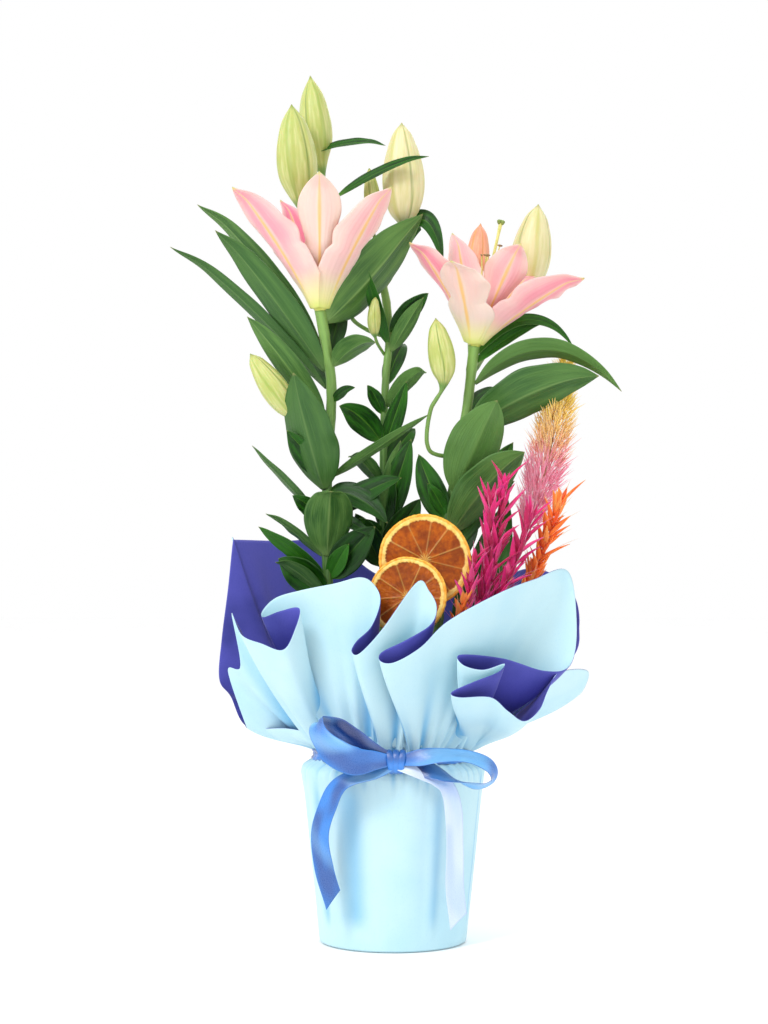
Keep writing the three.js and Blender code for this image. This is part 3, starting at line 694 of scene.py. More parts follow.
def make_stage():
    camera = bpy.data.objects.new("camera", bpy.data.cameras.new("camera"))
    camera.data.sensor_width = SENSOR
    camera.data.lens = SENSOR * CAMERA_DISTANCE / FRAME_HEIGHT
    camera.location = (CAMERA_SIDE, -CAMERA_DISTANCE, CAMERA_HEIGHT)
    camera.rotation_euler = (math.pi / 2, 0, 0)
    bpy.context.scene.collection.objects.link(camera)
    bpy.context.scene.camera = camera

    world = bpy.data.worlds.new("studio")
    world.use_nodes = True
    sky = world.node_tree.nodes["Background"]
    sky.inputs["Color"].default_value = (1.0, 1.0, 1.0, 1)
    sky.inputs["Strength"].default_value = 1.0
    bpy.context.scene.world = world

    def lamp(name, place, aim, size, power, tint=(1, 1, 1)):
        light = bpy.data.lights.new(name, "AREA")
        light.shape = "DISK"
        light.size = size
        light.energy = power
        light.color = tint
        lit = bpy.data.objects.new(name, light)
        lit.location = place
        lit.rotation_euler = (Vector(aim) - Vector(place)).to_track_quat("-Z", "Y").to_euler()
        bpy.context.scene.collection.objects.link(lit)

    lamp("key", (-1.1, -1.5, 1.7), (0, 0, 0.35), 0.6, 24)
    lamp("fill", (1.6, -1.2, 0.9), (0, 0, 0.3), 1.2, 3)
    lamp("back", (0.5, 1.7, 1.5), (0, 0, 0.4), 1.0, 8)

    floor = make_object(
        "floor",
        [(-6, -6, 0), (6, -6, 0), (6, 6, 0), (-6, 6, 0)],
        [(0, 1, 2, 3)],
        [speckled_paint("pale_floor", linear(254, 254, 254), linear(255, 255, 255), 3, 0.85, 0.0001)],
    )
    bpy.context.scene.view_settings.view_transform = "Standard"


# ---- stems ----

STEM_LINES = {}
STEM_RADII = {}


def make_stem(node):
    """A stem with slight ribs, swellings at its joints and a flared top."""
    low, _ = span(node)
    centres, radii = ring_axis(node, (0, 0, low[2]))
    path, _ = even(centres, 180)
    along = np.linspace(0, 1, len(path))
    sides = 22
    turn = round_turn(sides)
    wobble = Waves(node, 20, 60)
    joints = 1 + 0.06 * np.abs(wobble(along)) + 0.05 * np.sin(along * 55) ** 8
    radius = radii[2:-2].mean() * joints * np.where(along > 0.94, 1.08, 1.0)
    ribbed = 1 + 0.03 * np.cos(5 * turn)[None] + 0.02 * np.sin(11 * turn[None] + 9 * along[:, None])
    points, faces, uv = loft_arrays(path, radius[:, None] * ribbed, sides)
    piece = make_object(f"{node}_fine", points, faces, [STEM], uv)
    finish_piece(piece, "stem", node)
    STEM_LINES[node] = path
    STEM_RADII[node] = float(radii[2:-2].mean())


# ---- blades: leaves and tepals ----

LEAF_FULL = 1.12
LEAF_THICK = 0.45 * MM
TEPAL_THICK = 0.7 * MM
NARROWEST = 0.08 * MM


def blade_frame(centres, halves, uppers, rows):
    """A blade's path, half widths, side and upper directions, smoothed to so many rows."""
    path = smooth(centres, rows)
    width = np.maximum(smooth(np.linalg.norm(halves, axis=1), rows), NARROWEST)
    side = smooth(unit(halves), rows)
    along = tangents(path)
    side = unit(side - (side * along).sum(1)[:, None] * along)
    upper = np.cross(side, along)
    if (upper * smooth(uppers, rows)).sum() < 0:
        side, upper = -side, -upper
    return path, width, side, upper


def edge_waves(seeds, low, high, u, v):
    """Waves down a blade's two edges, each seeded by itself."""
    left, right = (Waves(seed, low, high)(u)[:, None] for seed in seeds)
    return np.where(v[None] < 0, left, right)


def raised_grid(path, side, upper, v, width, height):
    """Points across each row of a blade or strip, raised by height."""
    grid = path[:, None] + side[:, None] * (v[None] * width[:, None])[..., None]
    return grid + upper[:, None] * height[..., None]


def blade_piece(name, grid, uv, thickness, faces, tone, slot, *nodes):
    floats = {"tone": np.full(grid.shape[:2], tone)}
    return finish_piece(skin_piece(name, grid, thickness, faces, uv, floats=floats), slot, *nodes)


def leaf_grid(centres, halves, uppers, seed, wave, curl, rows=64, columns=19):
    path, width, side, upper = blade_frame(centres, halves, uppers, rows)
    width = width * LEAF_FULL
    u = np.linspace(0, 1, rows)
    v = np.linspace(-1, 1, columns)
    ripple = edge_waves((f"{seed}l", f"{seed}r"), 9, 24, u, v) * np.abs(v[None]) ** 2
    lift = 0.22 * np.abs(v[None]) ** 1.3 - 0.06 * np.exp(-((v[None] / 0.08) ** 2))
    veins = 0.02 * np.cos(v[None] * TAU * 3.5) * (1 - np.abs(v[None]))
    height = (lift + veins + wave * ripple * np.sin(np.pi * u)[:, None]) * width[:, None]
    drop = curl * smoothstep(0.72, 1.0, u) ** 1.5
    grid = raised_grid(path, side, upper, v, width, height - drop[:, None])
    uv = grid_uv(u, (v + 1) / 2)
    return grid, uv


def make_leaf(name, spine, tone, seed, wave, curl, nodes=()):
    grid, uv = leaf_grid(*spine, seed, wave, curl)
    blade_piece(name, grid, uv, LEAF_THICK, [LEAF_TOP, LEAF_UNDER], tone, "leaf", *nodes)


def make_cad_leaves():
    rng = random.Random(11)
    for node in sorted(n for n in NODES if n.startswith("leaf_")):
        spine = blade_spine(node, nearest_on(stem_of(node), node))
        make_leaf(f"{node}_fine", spine, rng.uniform(0.1, 0.9), node, rng.uniform(0.06, 0.18),
                  rng.uniform(-0.002, 0.006), (node,))


def stem_of(node):
    """The stem that a leaf or bud grows on, which its name gives."""
    return "stem_" + node.split("_")[1]


def nearest_on(stem, node):
    """The point of a stem's centreline that is closest to a node."""
    line = STEM_LINES[stem]
    points = np.array([v.co for v in NODES[node].data.vertices])
    gaps = np.linalg.norm(line[:, None] - points[None], axis=2)
    return line[np.unravel_index(gaps.argmin(), gaps.shape)[0]]


def stem_at(x, z):
    """The stem that is nearest to x at a height, and its centre there."""
    found = {name: line[np.abs(line[:, 2] - z).argmin()] for name, line in STEM_LINES.items()}
    name = min(found, key=lambda n: abs(found[n][0] - x) + abs(found[n][2] - z))
    return name, found[name]


def loose_spine(base, tip, width, arch, roll, snap=True):
    """The spine of a leaf seen from the front, between two seen points; roll turns its face."""
    start, end = from_front(*base), from_front(*tip)
    if snap:
        name, spot = stem_at(start[0], start[2])
        start = spot + unit(end - spot) * STEM_RADII[name] * 0.7
    t = np.linspace(0, 1, 11)[:, None]
    one = start + (end - start) * 0.33 + UP * arch * MM
    two = start + (end - start) * 0.7 + UP * arch * MM
    centres = (1 - t) ** 3 * start + 3 * t * (1 - t) ** 2 * one + 3 * t**2 * (1 - t) * two + t**3 * end
    along = tangents(centres)
    facing = unit(np.cross(along, np.array([0, -1.0, 0])))
    normal = np.cross(facing, along)
    turn = math.radians(roll)
    side = facing * math.cos(turn) + normal * math.sin(turn)
    upper = np.cross(side, along)
    if upper[5][1] > 0:
        upper = -upper
    half = width * MM / 2 * np.sin(np.pi * t[:, 0] ** 0.85) ** 0.8 + 0.8 * MM * (1 - t[:, 0])
    return centres, side * half[:, None], upper


# Further leaves: foot, tip, width, arch, roll in degrees, tone, and whether the foot moves to the
# nearest stem. Feet and tips are as the camera sees them, in mm: x, depth y and height.
LOOSE_LEAVES = [
    ((-45, 16, 604), (28, -6, 638), 8, 6, 40, 0.4, False),
    ((-62, 72, 640), (-6, 58, 647), 10, 5, 55, 0.5, False),
    ((-6, 16, 485), (-25, -4, 554), 10, 0, 25, 0.8, True),
    ((8, 40, 560), (41, 22, 550), 15, 42, 20, 0.3, False),
    ((-50, 0, 474), (-40, 22, 520), 16, 2, 10, 0.1, True),
    ((-50, -6, 440), (-32, -24, 452), 7, 2, 20, 0.2, True),
    ((-10, 14, 405), (-42, -12, 436), 20, 8, 20, 0.5, True),
    ((-6, 20, 428), (-20, 0, 452), 10, 4, 20, 0.4, True),
    ((-5, 16, 402), (11, -4, 456), 13, 0, -10, 0.6, True),
    ((2, 20, 494), (28, 4, 526), 15, 5, -25, 0.3, True),
    ((-50, -4, 348), (6, -20, 380), 17, 4, 25, 0.2, True),
    ((-52, -4, 370), (-4, -26, 344), 19, 8, 30, 0.1, True),
    ((-52, -2, 350), (-16, -20, 332), 9, 4, 20, 0.1, True),
    ((-10, 14, 335), (-26, -6, 346), 7, 1, 20, 0.9, True),
    ((-54, -4, 344), (-80, -16, 364), 14, 4, 25, 0.4, True),
    ((-56, -2, 376), (-85, -22, 416), 17, 4, 25, 0.3, True),
    ((-58, -2, 300), (-108, -14, 339), 13, 4, 35, 0.9, True),
    ((48, 0, 336), (98, 10, 376), 18, 6, -30, 0.4, True),
    ((46, 0, 318), (97, 20, 408), 26, 2, -15, 0.5, True),
    ((42, 0, 346), (28, -10, 374), 10, 3, 10, 0.7, True),
    ((-50, -2, 296), (-36, -16, 326), 13, 1, 10, 0.95, True),
    ((-52, -2, 296), (-15, -20, 340), 24, 2, 10, 0.1, True),
    ((-52, -2, 330), (-36, 14, 372), 22, 3, 10, 0.1, True),
    ((-48, 0, 284), (-92, -6, 314), 24, 4, 20, 0.3, True),
    ((64, 4, 478), (146, 16, 484), 9, 34, 30, 0.8, True),
    ((66, 4, 470), (124, 14, 506), 9, 6, 30, 0.8, True),
    ((-6, 16, 338), (14, -8, 410), 20, 0, 10, 0.3, True),
    ((-6, 16, 336), (-2, 2, 388), 17, 0, 25, 0.1, True),
    ((-6, 16, 306), (-30, -4, 350), 20, 2, 10, 0.2, True),
    ((-6, 16, 316), (22, 2, 362), 20, 2, -10, 0.2, True),
    ((40, 0, 340), (20, -6, 398), 20, 0, 15, 0.4, True),
    ((40, 0, 300), (66, 12, 368), 26, 4, -10, 0.2, True),
    ((-52, 0, 316), (-60, 30, 366), 20, 4, 15, 0.3, True),
    ((-6, 18, 384), (18, 40, 420), 16, 4, 20, 0.3, True),
    ((44, 2, 356), (84, 44, 396), 22, 8, 20, 0.4, True),
    ((-54, 2, 392), (-84, 44, 430), 18, 8, 20, 0.4, True),
    ((-6, 18, 450), (10, 52, 488), 14, 6, 20, 0.5, True),
    ((62, 26, 250), (92, 34, 362), 30, 0, 12, 0.7, False),
    ((56, 20, 246), (69, 24, 316), 24, 0, 8, 0.4, False),
    ((60, 4, 420), (88, 52, 448), 18, 8, 20, 0.4, True),
    ((-54, 2, 448), (-66, 50, 486), 18, 6, 20, 0.4, True),
]


def make_loose_leaves():
    for number, (base, tip, width, arch, roll, tone, snap) in enumerate(LOOSE_LEAVES, 1):
        spine = loose_spine(base, tip, width, arch, roll, snap)
        make_leaf(f"small_leaf_{number}", spine, tone, f"loose{number}", 0.1, 0.002)


# ---- flowers ----

def tepal_grid(centres, halves, uppers, base, axis, seed, spread, rows=84, columns=33):
    path, width, side, upper = blade_frame(centres, halves, uppers, rows)
    u = np.linspace(0, 1, rows)
    v = np.linspace(-1, 1, columns)
    shape = width * (1 + spread * smoothstep(0.1, 0.5, u))
    from_axis = path - base - ((path - base) @ axis)[:, None] * axis
    closed = 1.1 * np.linalg.norm(from_axis, axis=1) * (1 - smoothstep(0.26, 0.66, u))
    shape = np.maximum(shape, np.minimum(closed, shape.max()))
    ruffle = edge_waves((f"{seed}a", f"{seed}b"), 16, 38, u, v)
    ruffle = ruffle * np.abs(v[None]) ** 3 * 0.14 * smoothstep(0.2, 0.6, u)[:, None]
    reflex = -0.24 * np.abs(v[None]) ** 3 * smoothstep(0.5, 0.95, u)[:, None]
    cup = 0.4 * np.abs(v[None]) ** 2
    keel = -0.045 * np.exp(-((v[None] / 0.07) ** 2)) + 0.03 * np.exp(-((v[None] / 0.22) ** 2))
    veins = 0.008 * np.cos(v[None] * TAU * 5)
    height = (cup + reflex + keel + veins + ruffle) * shape[:, None]
    back = 0.005 * smoothstep(0.8, 1.0, u) ** 1.5
    grid = raised_grid(path, side, upper, v, shape, height - back[:, None])
    uv = grid_uv(u, (v + 1) / 2)
    return grid, uv


def make_flower(flower, seed, tones):
    foot, _ = span(f"{flower}_pistil")
    centres, _ = ring_axis(f"{flower}_pistil", foot)
    base = centres[0]
    axis = unit(centres[2] - base)
    for number, tone in enumerate(tones, 1):
        node = f"{flower}_tepal_{number}"
        spine = blade_spine(node, base)
        grid, uv = tepal_grid(*spine, base, axis, f"{seed}{number}", 0.12)
        blade_piece(f"{node}_fine", grid, uv, TEPAL_THICK, [TEPAL_IN, TEPAL_OUT], tone, "tepal", node)
    make_pistil(flower, centres)
    make_stamens(flower, centres, seed)
    make_receptacle(flower, centres)


def make_receptacle(flower, centres):
    """The green-yellow swelling that the tepals grow from."""
    along = unit(centres[3] - centres[0])
    heights = np.array([-5, -3, -1.5, 0, 2, 4, 6, 8, 9.5, 10]) * MM
    radius = np.array([3.6, 4.1, 5.2, 6.6, 7.6, 7.8, 7.2, 6.0, 4.2, 1.0]) * MM
    path = smooth(centres[0] + heights[:, None] * along, 30)
    turn = round_turn(36)
    lobes = 1 + 0.09 * np.cos(6 * turn)[None] * np.linspace(0, 1, 30)[:, None]
    points, faces, uv = loft_arrays(path, smooth(radius, 30)[:, None] * lobes, 36)
    piece = make_object(f"{flower}_receptacle", points, faces, [RECEPTACLE], uv)
    finish_piece(piece, "tepal")


def make_pistil(flower, centres):
    path, _ = even(centres, 50)
    style = Gathered()
    radius = np.interp(np.linspace(0, 1, 50), [0, 0.12, 0.3, 0.9, 1], [2.6, 2.6, 1.1, 1.2, 1.7]) * MM
    style.loft(path, radius, 14)
    piece = style.build(f"{flower}_style", [STYLE])
    finish_piece(piece, "pistil", f"{flower}_pistil")
    knob = Gathered()
    tip, along = path[-1], unit(path[-1] - path[-4])
    side = unit(np.cross(along, UP + 0.1))
    other = np.cross(along, side)
    for k in range(3):
        turn = k * TAU / 3
        out = side * math.cos(turn) + other * math.sin(turn)
        spot = tip + out * 1.6 * MM
        line = np.array([spot - along * 2 * MM, spot, spot + along * 1.2 * MM, spot + along * 2 * MM])
        knob.loft(smooth(line, 10), 1.9 * MM * np.sin(np.linspace(0.15, 3.0, 10)) ** 0.6, 10)
    piece = knob.build(f"{flower}_stigma", [STIGMA])
    finish_piece(piece, "pistil")


def make_stamens(flower, centres, seed):
    rng = random.Random(seed)
    filaments, anthers = Gathered(), Gathered()
    base = centres[0]
    along = unit(centres[-1] - base)
    reach = np.linalg.norm(centres[-1] - base) * 0.82
    side = unit(np.cross(along, np.array([0.3, 1, 0])))
    other = np.cross(along, side)
    for k in range(6):
        turn = k * TAU / 6 + rng.uniform(-0.15, 0.15)
        out = side * math.cos(turn) + other * math.sin(turn)
        spread = rng.uniform(9, 14) * MM
        tall = reach * rng.uniform(0.86, 1.02)
        line = np.array([
            base + along * 4 * MM + out * 2.2 * MM,
            base + along * tall * 0.4 + out * (2.6 * MM + spread * 0.2),
            base + along * tall * 0.75 + out * spread * 0.6,
            base + along * tall + out * spread,
        ])
        path, _ = even(line, 26)
        filaments.loft(path, np.interp(np.linspace(0, 1, 26), [0, 0.5, 1], [0.95, 0.8, 0.5]) * MM, 8)
        tip = path[-1]
        cross = unit(np.cross(out, along) + 0.3 * out)
        bar = tip + np.linspace(-1, 1, 9)[:, None] * cross * 2.4 * MM
        anthers.loft(bar, 0.9 * MM * np.sin(np.linspace(0.2, 2.95, 9)) ** 0.5, 8)
    finish_piece(filaments.build(f"{flower}_filaments", [STYLE]), "pistil")
    finish_piece(anthers.build(f"{flower}_anthers", [ANTHER]), "pistil")


# ---- buds ----

# Each bud's node, its colour and how far it is turned about its own line, in radians.
BUDS = [
    ("bud_left_front", "green", 0.5),
    ("bud_left_top", "green", 1.4),
    ("bud_left_low", "green", 0.2),
    ("bud_middle_top", "cream", 0.9),
    ("bud_middle_olive", "green", 0.3),
    ("bud_right_top", "cream", 1.1),
    ("bud_right_blush", "blush", 0.4),
    ("bud_right_low", "green", 1.0),
]


def make_buds():
    for node, colour, twist in BUDS:
        centres, radii = ring_axis(node, nearest_on(stem_of(node), node))
        piece = bud_piece(f"{node}_fine", centres, radii, radii[2:5].mean(), BUD_PAINTS[colour], twist)
        finish_piece(piece, f"bud_{colour}", node)


def bud_piece(name, centres, radii, stalk_radius, paint, twist):
    """A bud whose three outer tepals meet at grooves, on its stalk."""
    rows, sides = 120, 48
    path = smooth(centres, rows)
    radius = np.maximum(smooth(radii, rows), 0.0003)
    u = np.linspace(0, 1, rows)
    body = smoothstep(stalk_radius * 1.25, stalk_radius * 2.2, radius)
    start = u[np.argmax(body > 0.5)]
    along = np.clip((u - start) / (1 - start), 0, 1)
    turn = round_turn(sides)
    phase = turn[None] + twist + 0.25 * along[:, None]
    off = np.abs(((phase * 3 / TAU) % 1) - 0.5)
    seam = np.exp(-((off / 0.07) ** 2))
    rib = np.exp(-(((0.5 - off) / 0.1) ** 2))
    edge = np.exp(-((off - 0.11) ** 2) / 0.002)
    relief = 1 - 0.095 * seam + 0.03 * rib + 0.024 * edge + 0.02 * np.cos(6 * phase)
    lobes = 1 + (relief - 1) * (body * np.sin(np.pi * np.clip(along, 0.06, 0.97)) ** 0.35)[:, None]
    points, faces, uv = loft_arrays(path, radius[:, None] * lobes, sides)
    spread = lambda a: np.repeat(a[:, None], sides, axis=1)
    ended = lambda a, first, last: np.concatenate([a.ravel(), [first, last]])
    stalk = np.maximum(1 - smoothstep(0.0, 0.1, along), u < start)
    floats = {
        "seam": ended(seam * body[:, None], 0, 0),
        "rib": ended(rib * body[:, None], 0, 0),
        "stalk": ended(spread(stalk), 1, 0),
    }
    uv[:, 0] = ended(spread(along), 0, 1)
    return make_object(name, points, faces, [paint], uv, floats=floats)


# Small closed buds: points of the stalk and bud from foot to tip as the camera sees them, in
# mm, the share of their length where the bud starts, and its diameter.
SMALL_BUDS = [
    ([(-12, 34, 546), (-15, 28, 572), (-16, 26, 590), (-17, 24, 608), (-19, 22, 627)], 0.48, 13),
    ([(-7, 24, 478), (-13, 12, 488), (-15, 8, 498), (-15, 6, 512), (-14, 4, 524)], 0.4, 11),
]


def make_small_buds():
    for number, (seen, begins, diameter) in enumerate(SMALL_BUDS, 1):
        points = np.array([from_front(*p) for p in seen])
        path, _ = even(points, 19)
        t = np.clip((np.linspace(0, 1, 19) - begins) / (1 - begins), 0, 1)
        stalk = 1.3 * MM
        swell = (diameter * MM / 2 - stalk) * np.sin(np.pi * t**0.85) ** 0.8
        radii = stalk * np.where(t > 0.92, 0.4, 1) + swell
        piece = bud_piece(f"small_bud_{number}", path, radii, stalk, BUD_PAINTS["green"], 0.7 * number)
        finish_piece(piece, "bud_green")


# ---- dried orange slices ----

def make_slice(node, segments, seed):
    """A dried slice: a crinkled peel ring, sunken flesh between membranes and a pithy star."""
    rng = random.Random(seed)
    mesh = np.array([v.co for v in NODES[node].data.vertices])
    low, high = mesh.min(0), mesh.max(0)
    upper = mesh[mesh[:, 2] > high[2] - (high[0] - low[0])]
    disc_low, disc_high = upper.min(0), upper.max(0)
    radius = (disc_high[0] - disc_low[0]) / 2
    centre = np.array([(disc_low[0] + disc_high[0]) / 2, (disc_low[1] + disc_high[1]) / 2, high[2] - radius])
    ring = upper[np.linalg.norm(upper - centre, axis=1) > radius * 0.93]
    centre = ring.mean(0) * 0.5 + centre * 0.5
    _, _, axes = np.linalg.svd(ring - ring.mean(0))
    normal = axes[2] if axes[2][1] < 0 else -axes[2]
    right = unit(np.cross(UP, normal)) * -1
    top = np.cross(right, normal) * -1
    if top[2] < 0:
        top = -top

    rings, around = 74, 300
    r = np.concatenate([[0.004], np.linspace(0.03, 0.97, rings - 3), [0.992, 1.0]])
    turn = round_turn(around)
    cuts = np.sort([(k + rng.uniform(-0.16, 0.16)) * TAU / segments for k in range(segments)])
    gap = np.min(np.abs((turn[None] - cuts[:, None] + math.pi) % TAU - math.pi), axis=0)
    chord = gap[None] * r[:, None] * radius
    wander = Waves(f"{seed}w", 20, 60)
    peel = smoothstep(0.93, 0.96, r[:, None] + 0.006 * wander(turn)[None])
    scallop = 0.03 * np.exp(-((gap / 0.06) ** 2))[None]
    pith = smoothstep(0.845, 0.875, r[:, None] + scallop + 0.014 * wander(turn * 1.3)[None]) * (1 - peel)
    star = smoothstep(0.16, 0.07, r[:, None] + 0.04 * np.cos(turn * segments)[None])
    membrane = np.maximum(np.exp(-((chord / 0.00055) ** 2)), star)
    branch = Waves(f"{seed}b", 60, 140)
    veins = smoothstep(0.62, 0.9, np.abs(branch(turn)))[None] * smoothstep(0.2, 0.4, r[:, None])
    fade = 0.35 + 0.65 * np.abs(Waves(f"{seed}m", 4, 9)(turn))[None]
    membrane = np.clip(membrane * np.maximum(fade, star) + 0.35 * veins * (r[:, None] < 0.86), 0, 1)
    flesh = (1 - np.maximum(np.maximum(membrane, pith), peel))
    lumps = Waves(f"{seed}c", 25, 70)(turn)[None] * np.sin(r[:, None] * 21)
    lumps = lumps + Waves(f"{seed}d", 9, 30)(turn)[None]
    half = (1.9 - 0.95 * flesh + 0.16 * lumps * flesh) * MM
    half = half * np.where(r[:, None] > 0.985, np.where(r[:, None] > 0.995, 0.35, 0.8), 1)
    rim = 1 + 0.012 * Waves(f"{seed}e", 3, 11)(turn) + 0.006 * Waves(f"{seed}f", 30, 60)(turn)
    warp = 1.3 * MM * (r[:, None] ** 2) * np.sin(2 * turn + rng.uniform(0, 6))[None]
    warp = warp + 0.5 * MM * (r[:, None] ** 3) * Waves(f"{seed}g", 5, 12)(turn)[None]
    x = r[:, None] * radius * 0.985 * rim[None] * np.cos(turn)[None]
    y = r[:, None] * radius * 0.985 * rim[None] * np.sin(turn)[None]
    flat = centre + x[..., None] * right + y[..., None] * top
    front = flat + (warp + half)[..., None] * normal
    back = flat + (warp - half)[..., None] * normal
    points = np.concatenate([front.reshape(-1, 3), back.reshape(-1, 3)])
    count = rings * around
    faces = [tuple(f) for f in quads(rings, around, True)[:, ::-1]]
    faces += [tuple(f) for f in quads(rings, around, True) + count]
    last = (rings - 1) * around
    faces += [(last + k, last + (k + 1) % around, count + last + (k + 1) % around, count + last + k)
              for k in range(around)]
    faces.append(tuple(range(around)))
    faces.append(tuple(count + k for k in reversed(range(around))))
    both = lambda a: np.concatenate([np.broadcast_to(a, (rings, around)).ravel()] * 2)
    floats = {"peel": both(peel), "pith": both(pith), "membrane": both(membrane * (1 - peel))}
    uv = np.column_stack([both(r[:, None]), both(turn[None] / TAU)])
    piece = make_object(f"{node}_fine", points, faces, [ORANGE], uv, floats=floats)
    finish_piece(piece, "dried_orange", node)
    pick = Gathered()
    foot = mesh[mesh[:, 2] < low[2] + 0.001].mean(0)
    bite = centre - top * radius * 0.8
    bite = bite + normal * -0.0001
    pick.loft(even(np.array([foot, (foot + bite) / 2, bite]), 14)[0], np.full(14, 1.15 * MM), 10)
    finish_piece(pick.build(f"{node}_pick", [WOOD]), "dried_orange")


# ---- dyed dried sprays ----

def hair(bunch, root, direction, length, width, tone, bend, sides=4, rows=7):
    """A tapering curved hair or husk."""
    s = np.linspace(0, 1, rows)[:, None]
    path = root + direction * length * s + bend * length * s**2
    radius = width * np.sin(np.pi * np.clip(s[:, 0] * 0.92 + 0.05, 0, 1) ** 0.7) + width * 0.05
    bunch.loft(path, radius, sides, tone, 0.55, unit(np.cross(direction, UP) + 0.01))


PLUME_HAIRS = 1900


def make_plume():
    node = "plume"
    low, _ = span(node)
    centres, radii = ring_axis(node, (0, 0, low[2]))
    rng = random.Random(5)
    path, _ = even(centres, 160)
    along = tangents(path)
    across, other = turned_frame(path, np.array([1.0, 0, 0]))
    radius = np.interp(np.linspace(0, 1, 160), np.linspace(0, 1, len(radii)), radii)
    start = np.argmax(radius > radius.max() * 0.3)
    stalk = Gathered()
    stalk.loft(path[: start + 50], np.full(start + 50, 1.1 * MM), 10)
    finish_piece(stalk.build("plume_stalk", [WOOD]), "plume")
    bunch = Gathered()
    for _ in range(PLUME_HAIRS):
        k = rng.randrange(start, 159)
        share = (k - start) / (159 - start)
        turn = rng.uniform(0, TAU)
        out = across[k] * math.cos(turn) + other[k] * math.sin(turn)
        deep = rng.uniform(0.25, 0.8) ** 0.8
        root = path[k] + out * radius[k] * deep
        lean = unit(out * rng.uniform(0.4, 1.1) + along[k] * rng.uniform(0.7, 1.3))
        size = rng.uniform(9, 17) * MM * (1 - 0.15 * share)
        tone = min(1, max(0, (share - 0.34) * 2.2 + rng.uniform(-0.14, 0.14)))
        sway = np.array([rng.uniform(-0.2, 0.2), rng.uniform(-0.2, 0.2), rng.uniform(0, 0.25)])
        hair(bunch, root, lean, size, rng.uniform(0.3, 0.7) * MM, tone, sway)
    finish_piece(bunch.build("plume_hairs", [PLUME]), "plume", node)


def spike_husks(bunch, path, start, rng, count, size, spread, tones):
    """Long pointed husks round a stalk, closer together towards its tip."""
    along = tangents(path)
    across, other = turned_frame(path, np.array([0.0, 1.0, 0]))
    last = len(path) - 1
    for n in range(count):
        share = n / count
        k = int(start + (last - start) * share**0.9)
        turn = n * 2.4 + rng.uniform(-0.5, 0.5)
        out = across[k] * math.cos(turn) + other[k] * math.sin(turn)
        lean = unit(out * rng.uniform(0.3, spread) + along[k])
        root = path[k] + out * 0.8 * MM
        long = size * rng.uniform(0.65, 1.25) * (1 - 0.25 * share)
        sway = out * rng.uniform(-0.1, 0.35) + UP * rng.uniform(-0.1, 0.15)
        hair(bunch, root, lean, long, rng.uniform(1.7, 2.9) * MM, rng.uniform(*tones), sway, 7, 9)
        if rng.random() < 0.35:
            middle = root + lean * long * 0.5
            hair(bunch, middle, unit(lean + out * 0.2), long, 0.3 * MM, 0.9, sway * 0.5, 4, 6)


def make_orange_spike():
    node = "orange_spike"
    low, _ = span(node)
    centres, _ = ring_axis(node, (0, 0, low[2]))
    path, _ = even(centres, 120)
    rng = random.Random(8)
    stalk = Gathered()
    stalk.loft(path, np.linspace(1.4, 0.6, 120) * MM, 10, 0.3)
    finish_piece(stalk.build("orange_stalk", [SPIKE]), "orange_spray")
    bunch = Gathered()
    spike_husks(bunch, path, 40, rng, 84, 23 * MM, 0.7, (0.1, 0.8))
    finish_piece(bunch.build("orange_husks", [SPIKE]), "orange_spray", node)


def make_magenta_spray():
    node = "magenta_spray"
    low, _ = span(node)
    rng = random.Random(9)
    mesh = np.array([v.co for v in NODES[node].data.vertices])
    foot = mesh[mesh[:, 2] < low[2] + 0.002].mean(0)
    fork = mesh[np.abs(mesh[:, 2] - (low[2] + 0.122)) < 0.006].mean(0)
    tall = mesh[mesh[:, 2] > low[2] + 0.19]
    highest = tall[tall[:, 2].argmax()]
    farthest = mesh[mesh[:, 0].argmax()]
    third = highest + np.array([-12, -4, -14]) * MM
    bunch, stalks = Gathered(), Gathered()
    neck, _ = even(np.array([foot, foot * 0.6 + fork * 0.4 + [0, 0, -0.006], fork]), 40)
    stalks.loft(neck, np.full(40, 1.4 * MM), 10, 0.3)
    for top in (highest, farthest, third):
        middle = fork * 0.5 + top * 0.5 + np.array([3, -2, -5]) * MM
        path, _ = even(np.array([fork, middle, top]), 60)
        stalks.loft(path, np.linspace(1.0, 0.4, 60) * MM, 8, 0.3)
        spike_husks(bunch, path, 0, rng, 42, 25 * MM, 0.6, (0.0, 0.75))
    lower, _ = even(np.array([neck[24], fork]), 20)
    spike_husks(bunch, lower, 0, rng, 26, 24 * MM, 0.9, (0.0, 0.6))
    side, _ = even(fork + np.array([[-2, -10, -30], [-8, -14, 10], [0, -12, 60]]) * MM, 30)
    stalks.loft(side, np.linspace(0.9, 0.4, 30) * MM, 8, 0.3)
    spike_husks(bunch, side, 4, rng, 24, 20 * MM, 0.45, (0.0, 0.8))
    near, _ = even(fork + np.array([[-2, -16, -30], [-14, -20, 0], [-9, -19, 26]]) * MM, 24)
    husks = Gathered()
    husks.loft(near, np.linspace(0.9, 0.4, 24) * MM, 8, 0.3)
    spike_husks(husks, near, 6, rng, 16, 16 * MM, 0.45, (0.1, 0.8))
    finish_piece(husks.build("orange_side_husks", [SPIKE]), "orange_spray")
    finish_piece(stalks.build("magenta_stalks", [MAGENTA]), "magenta_spray")
    finish_piece(bunch.build("magenta_husks", [MAGENTA]), "magenta_spray", node)


# ---- soil and pot ----

SOIL_CRUMBS = 420


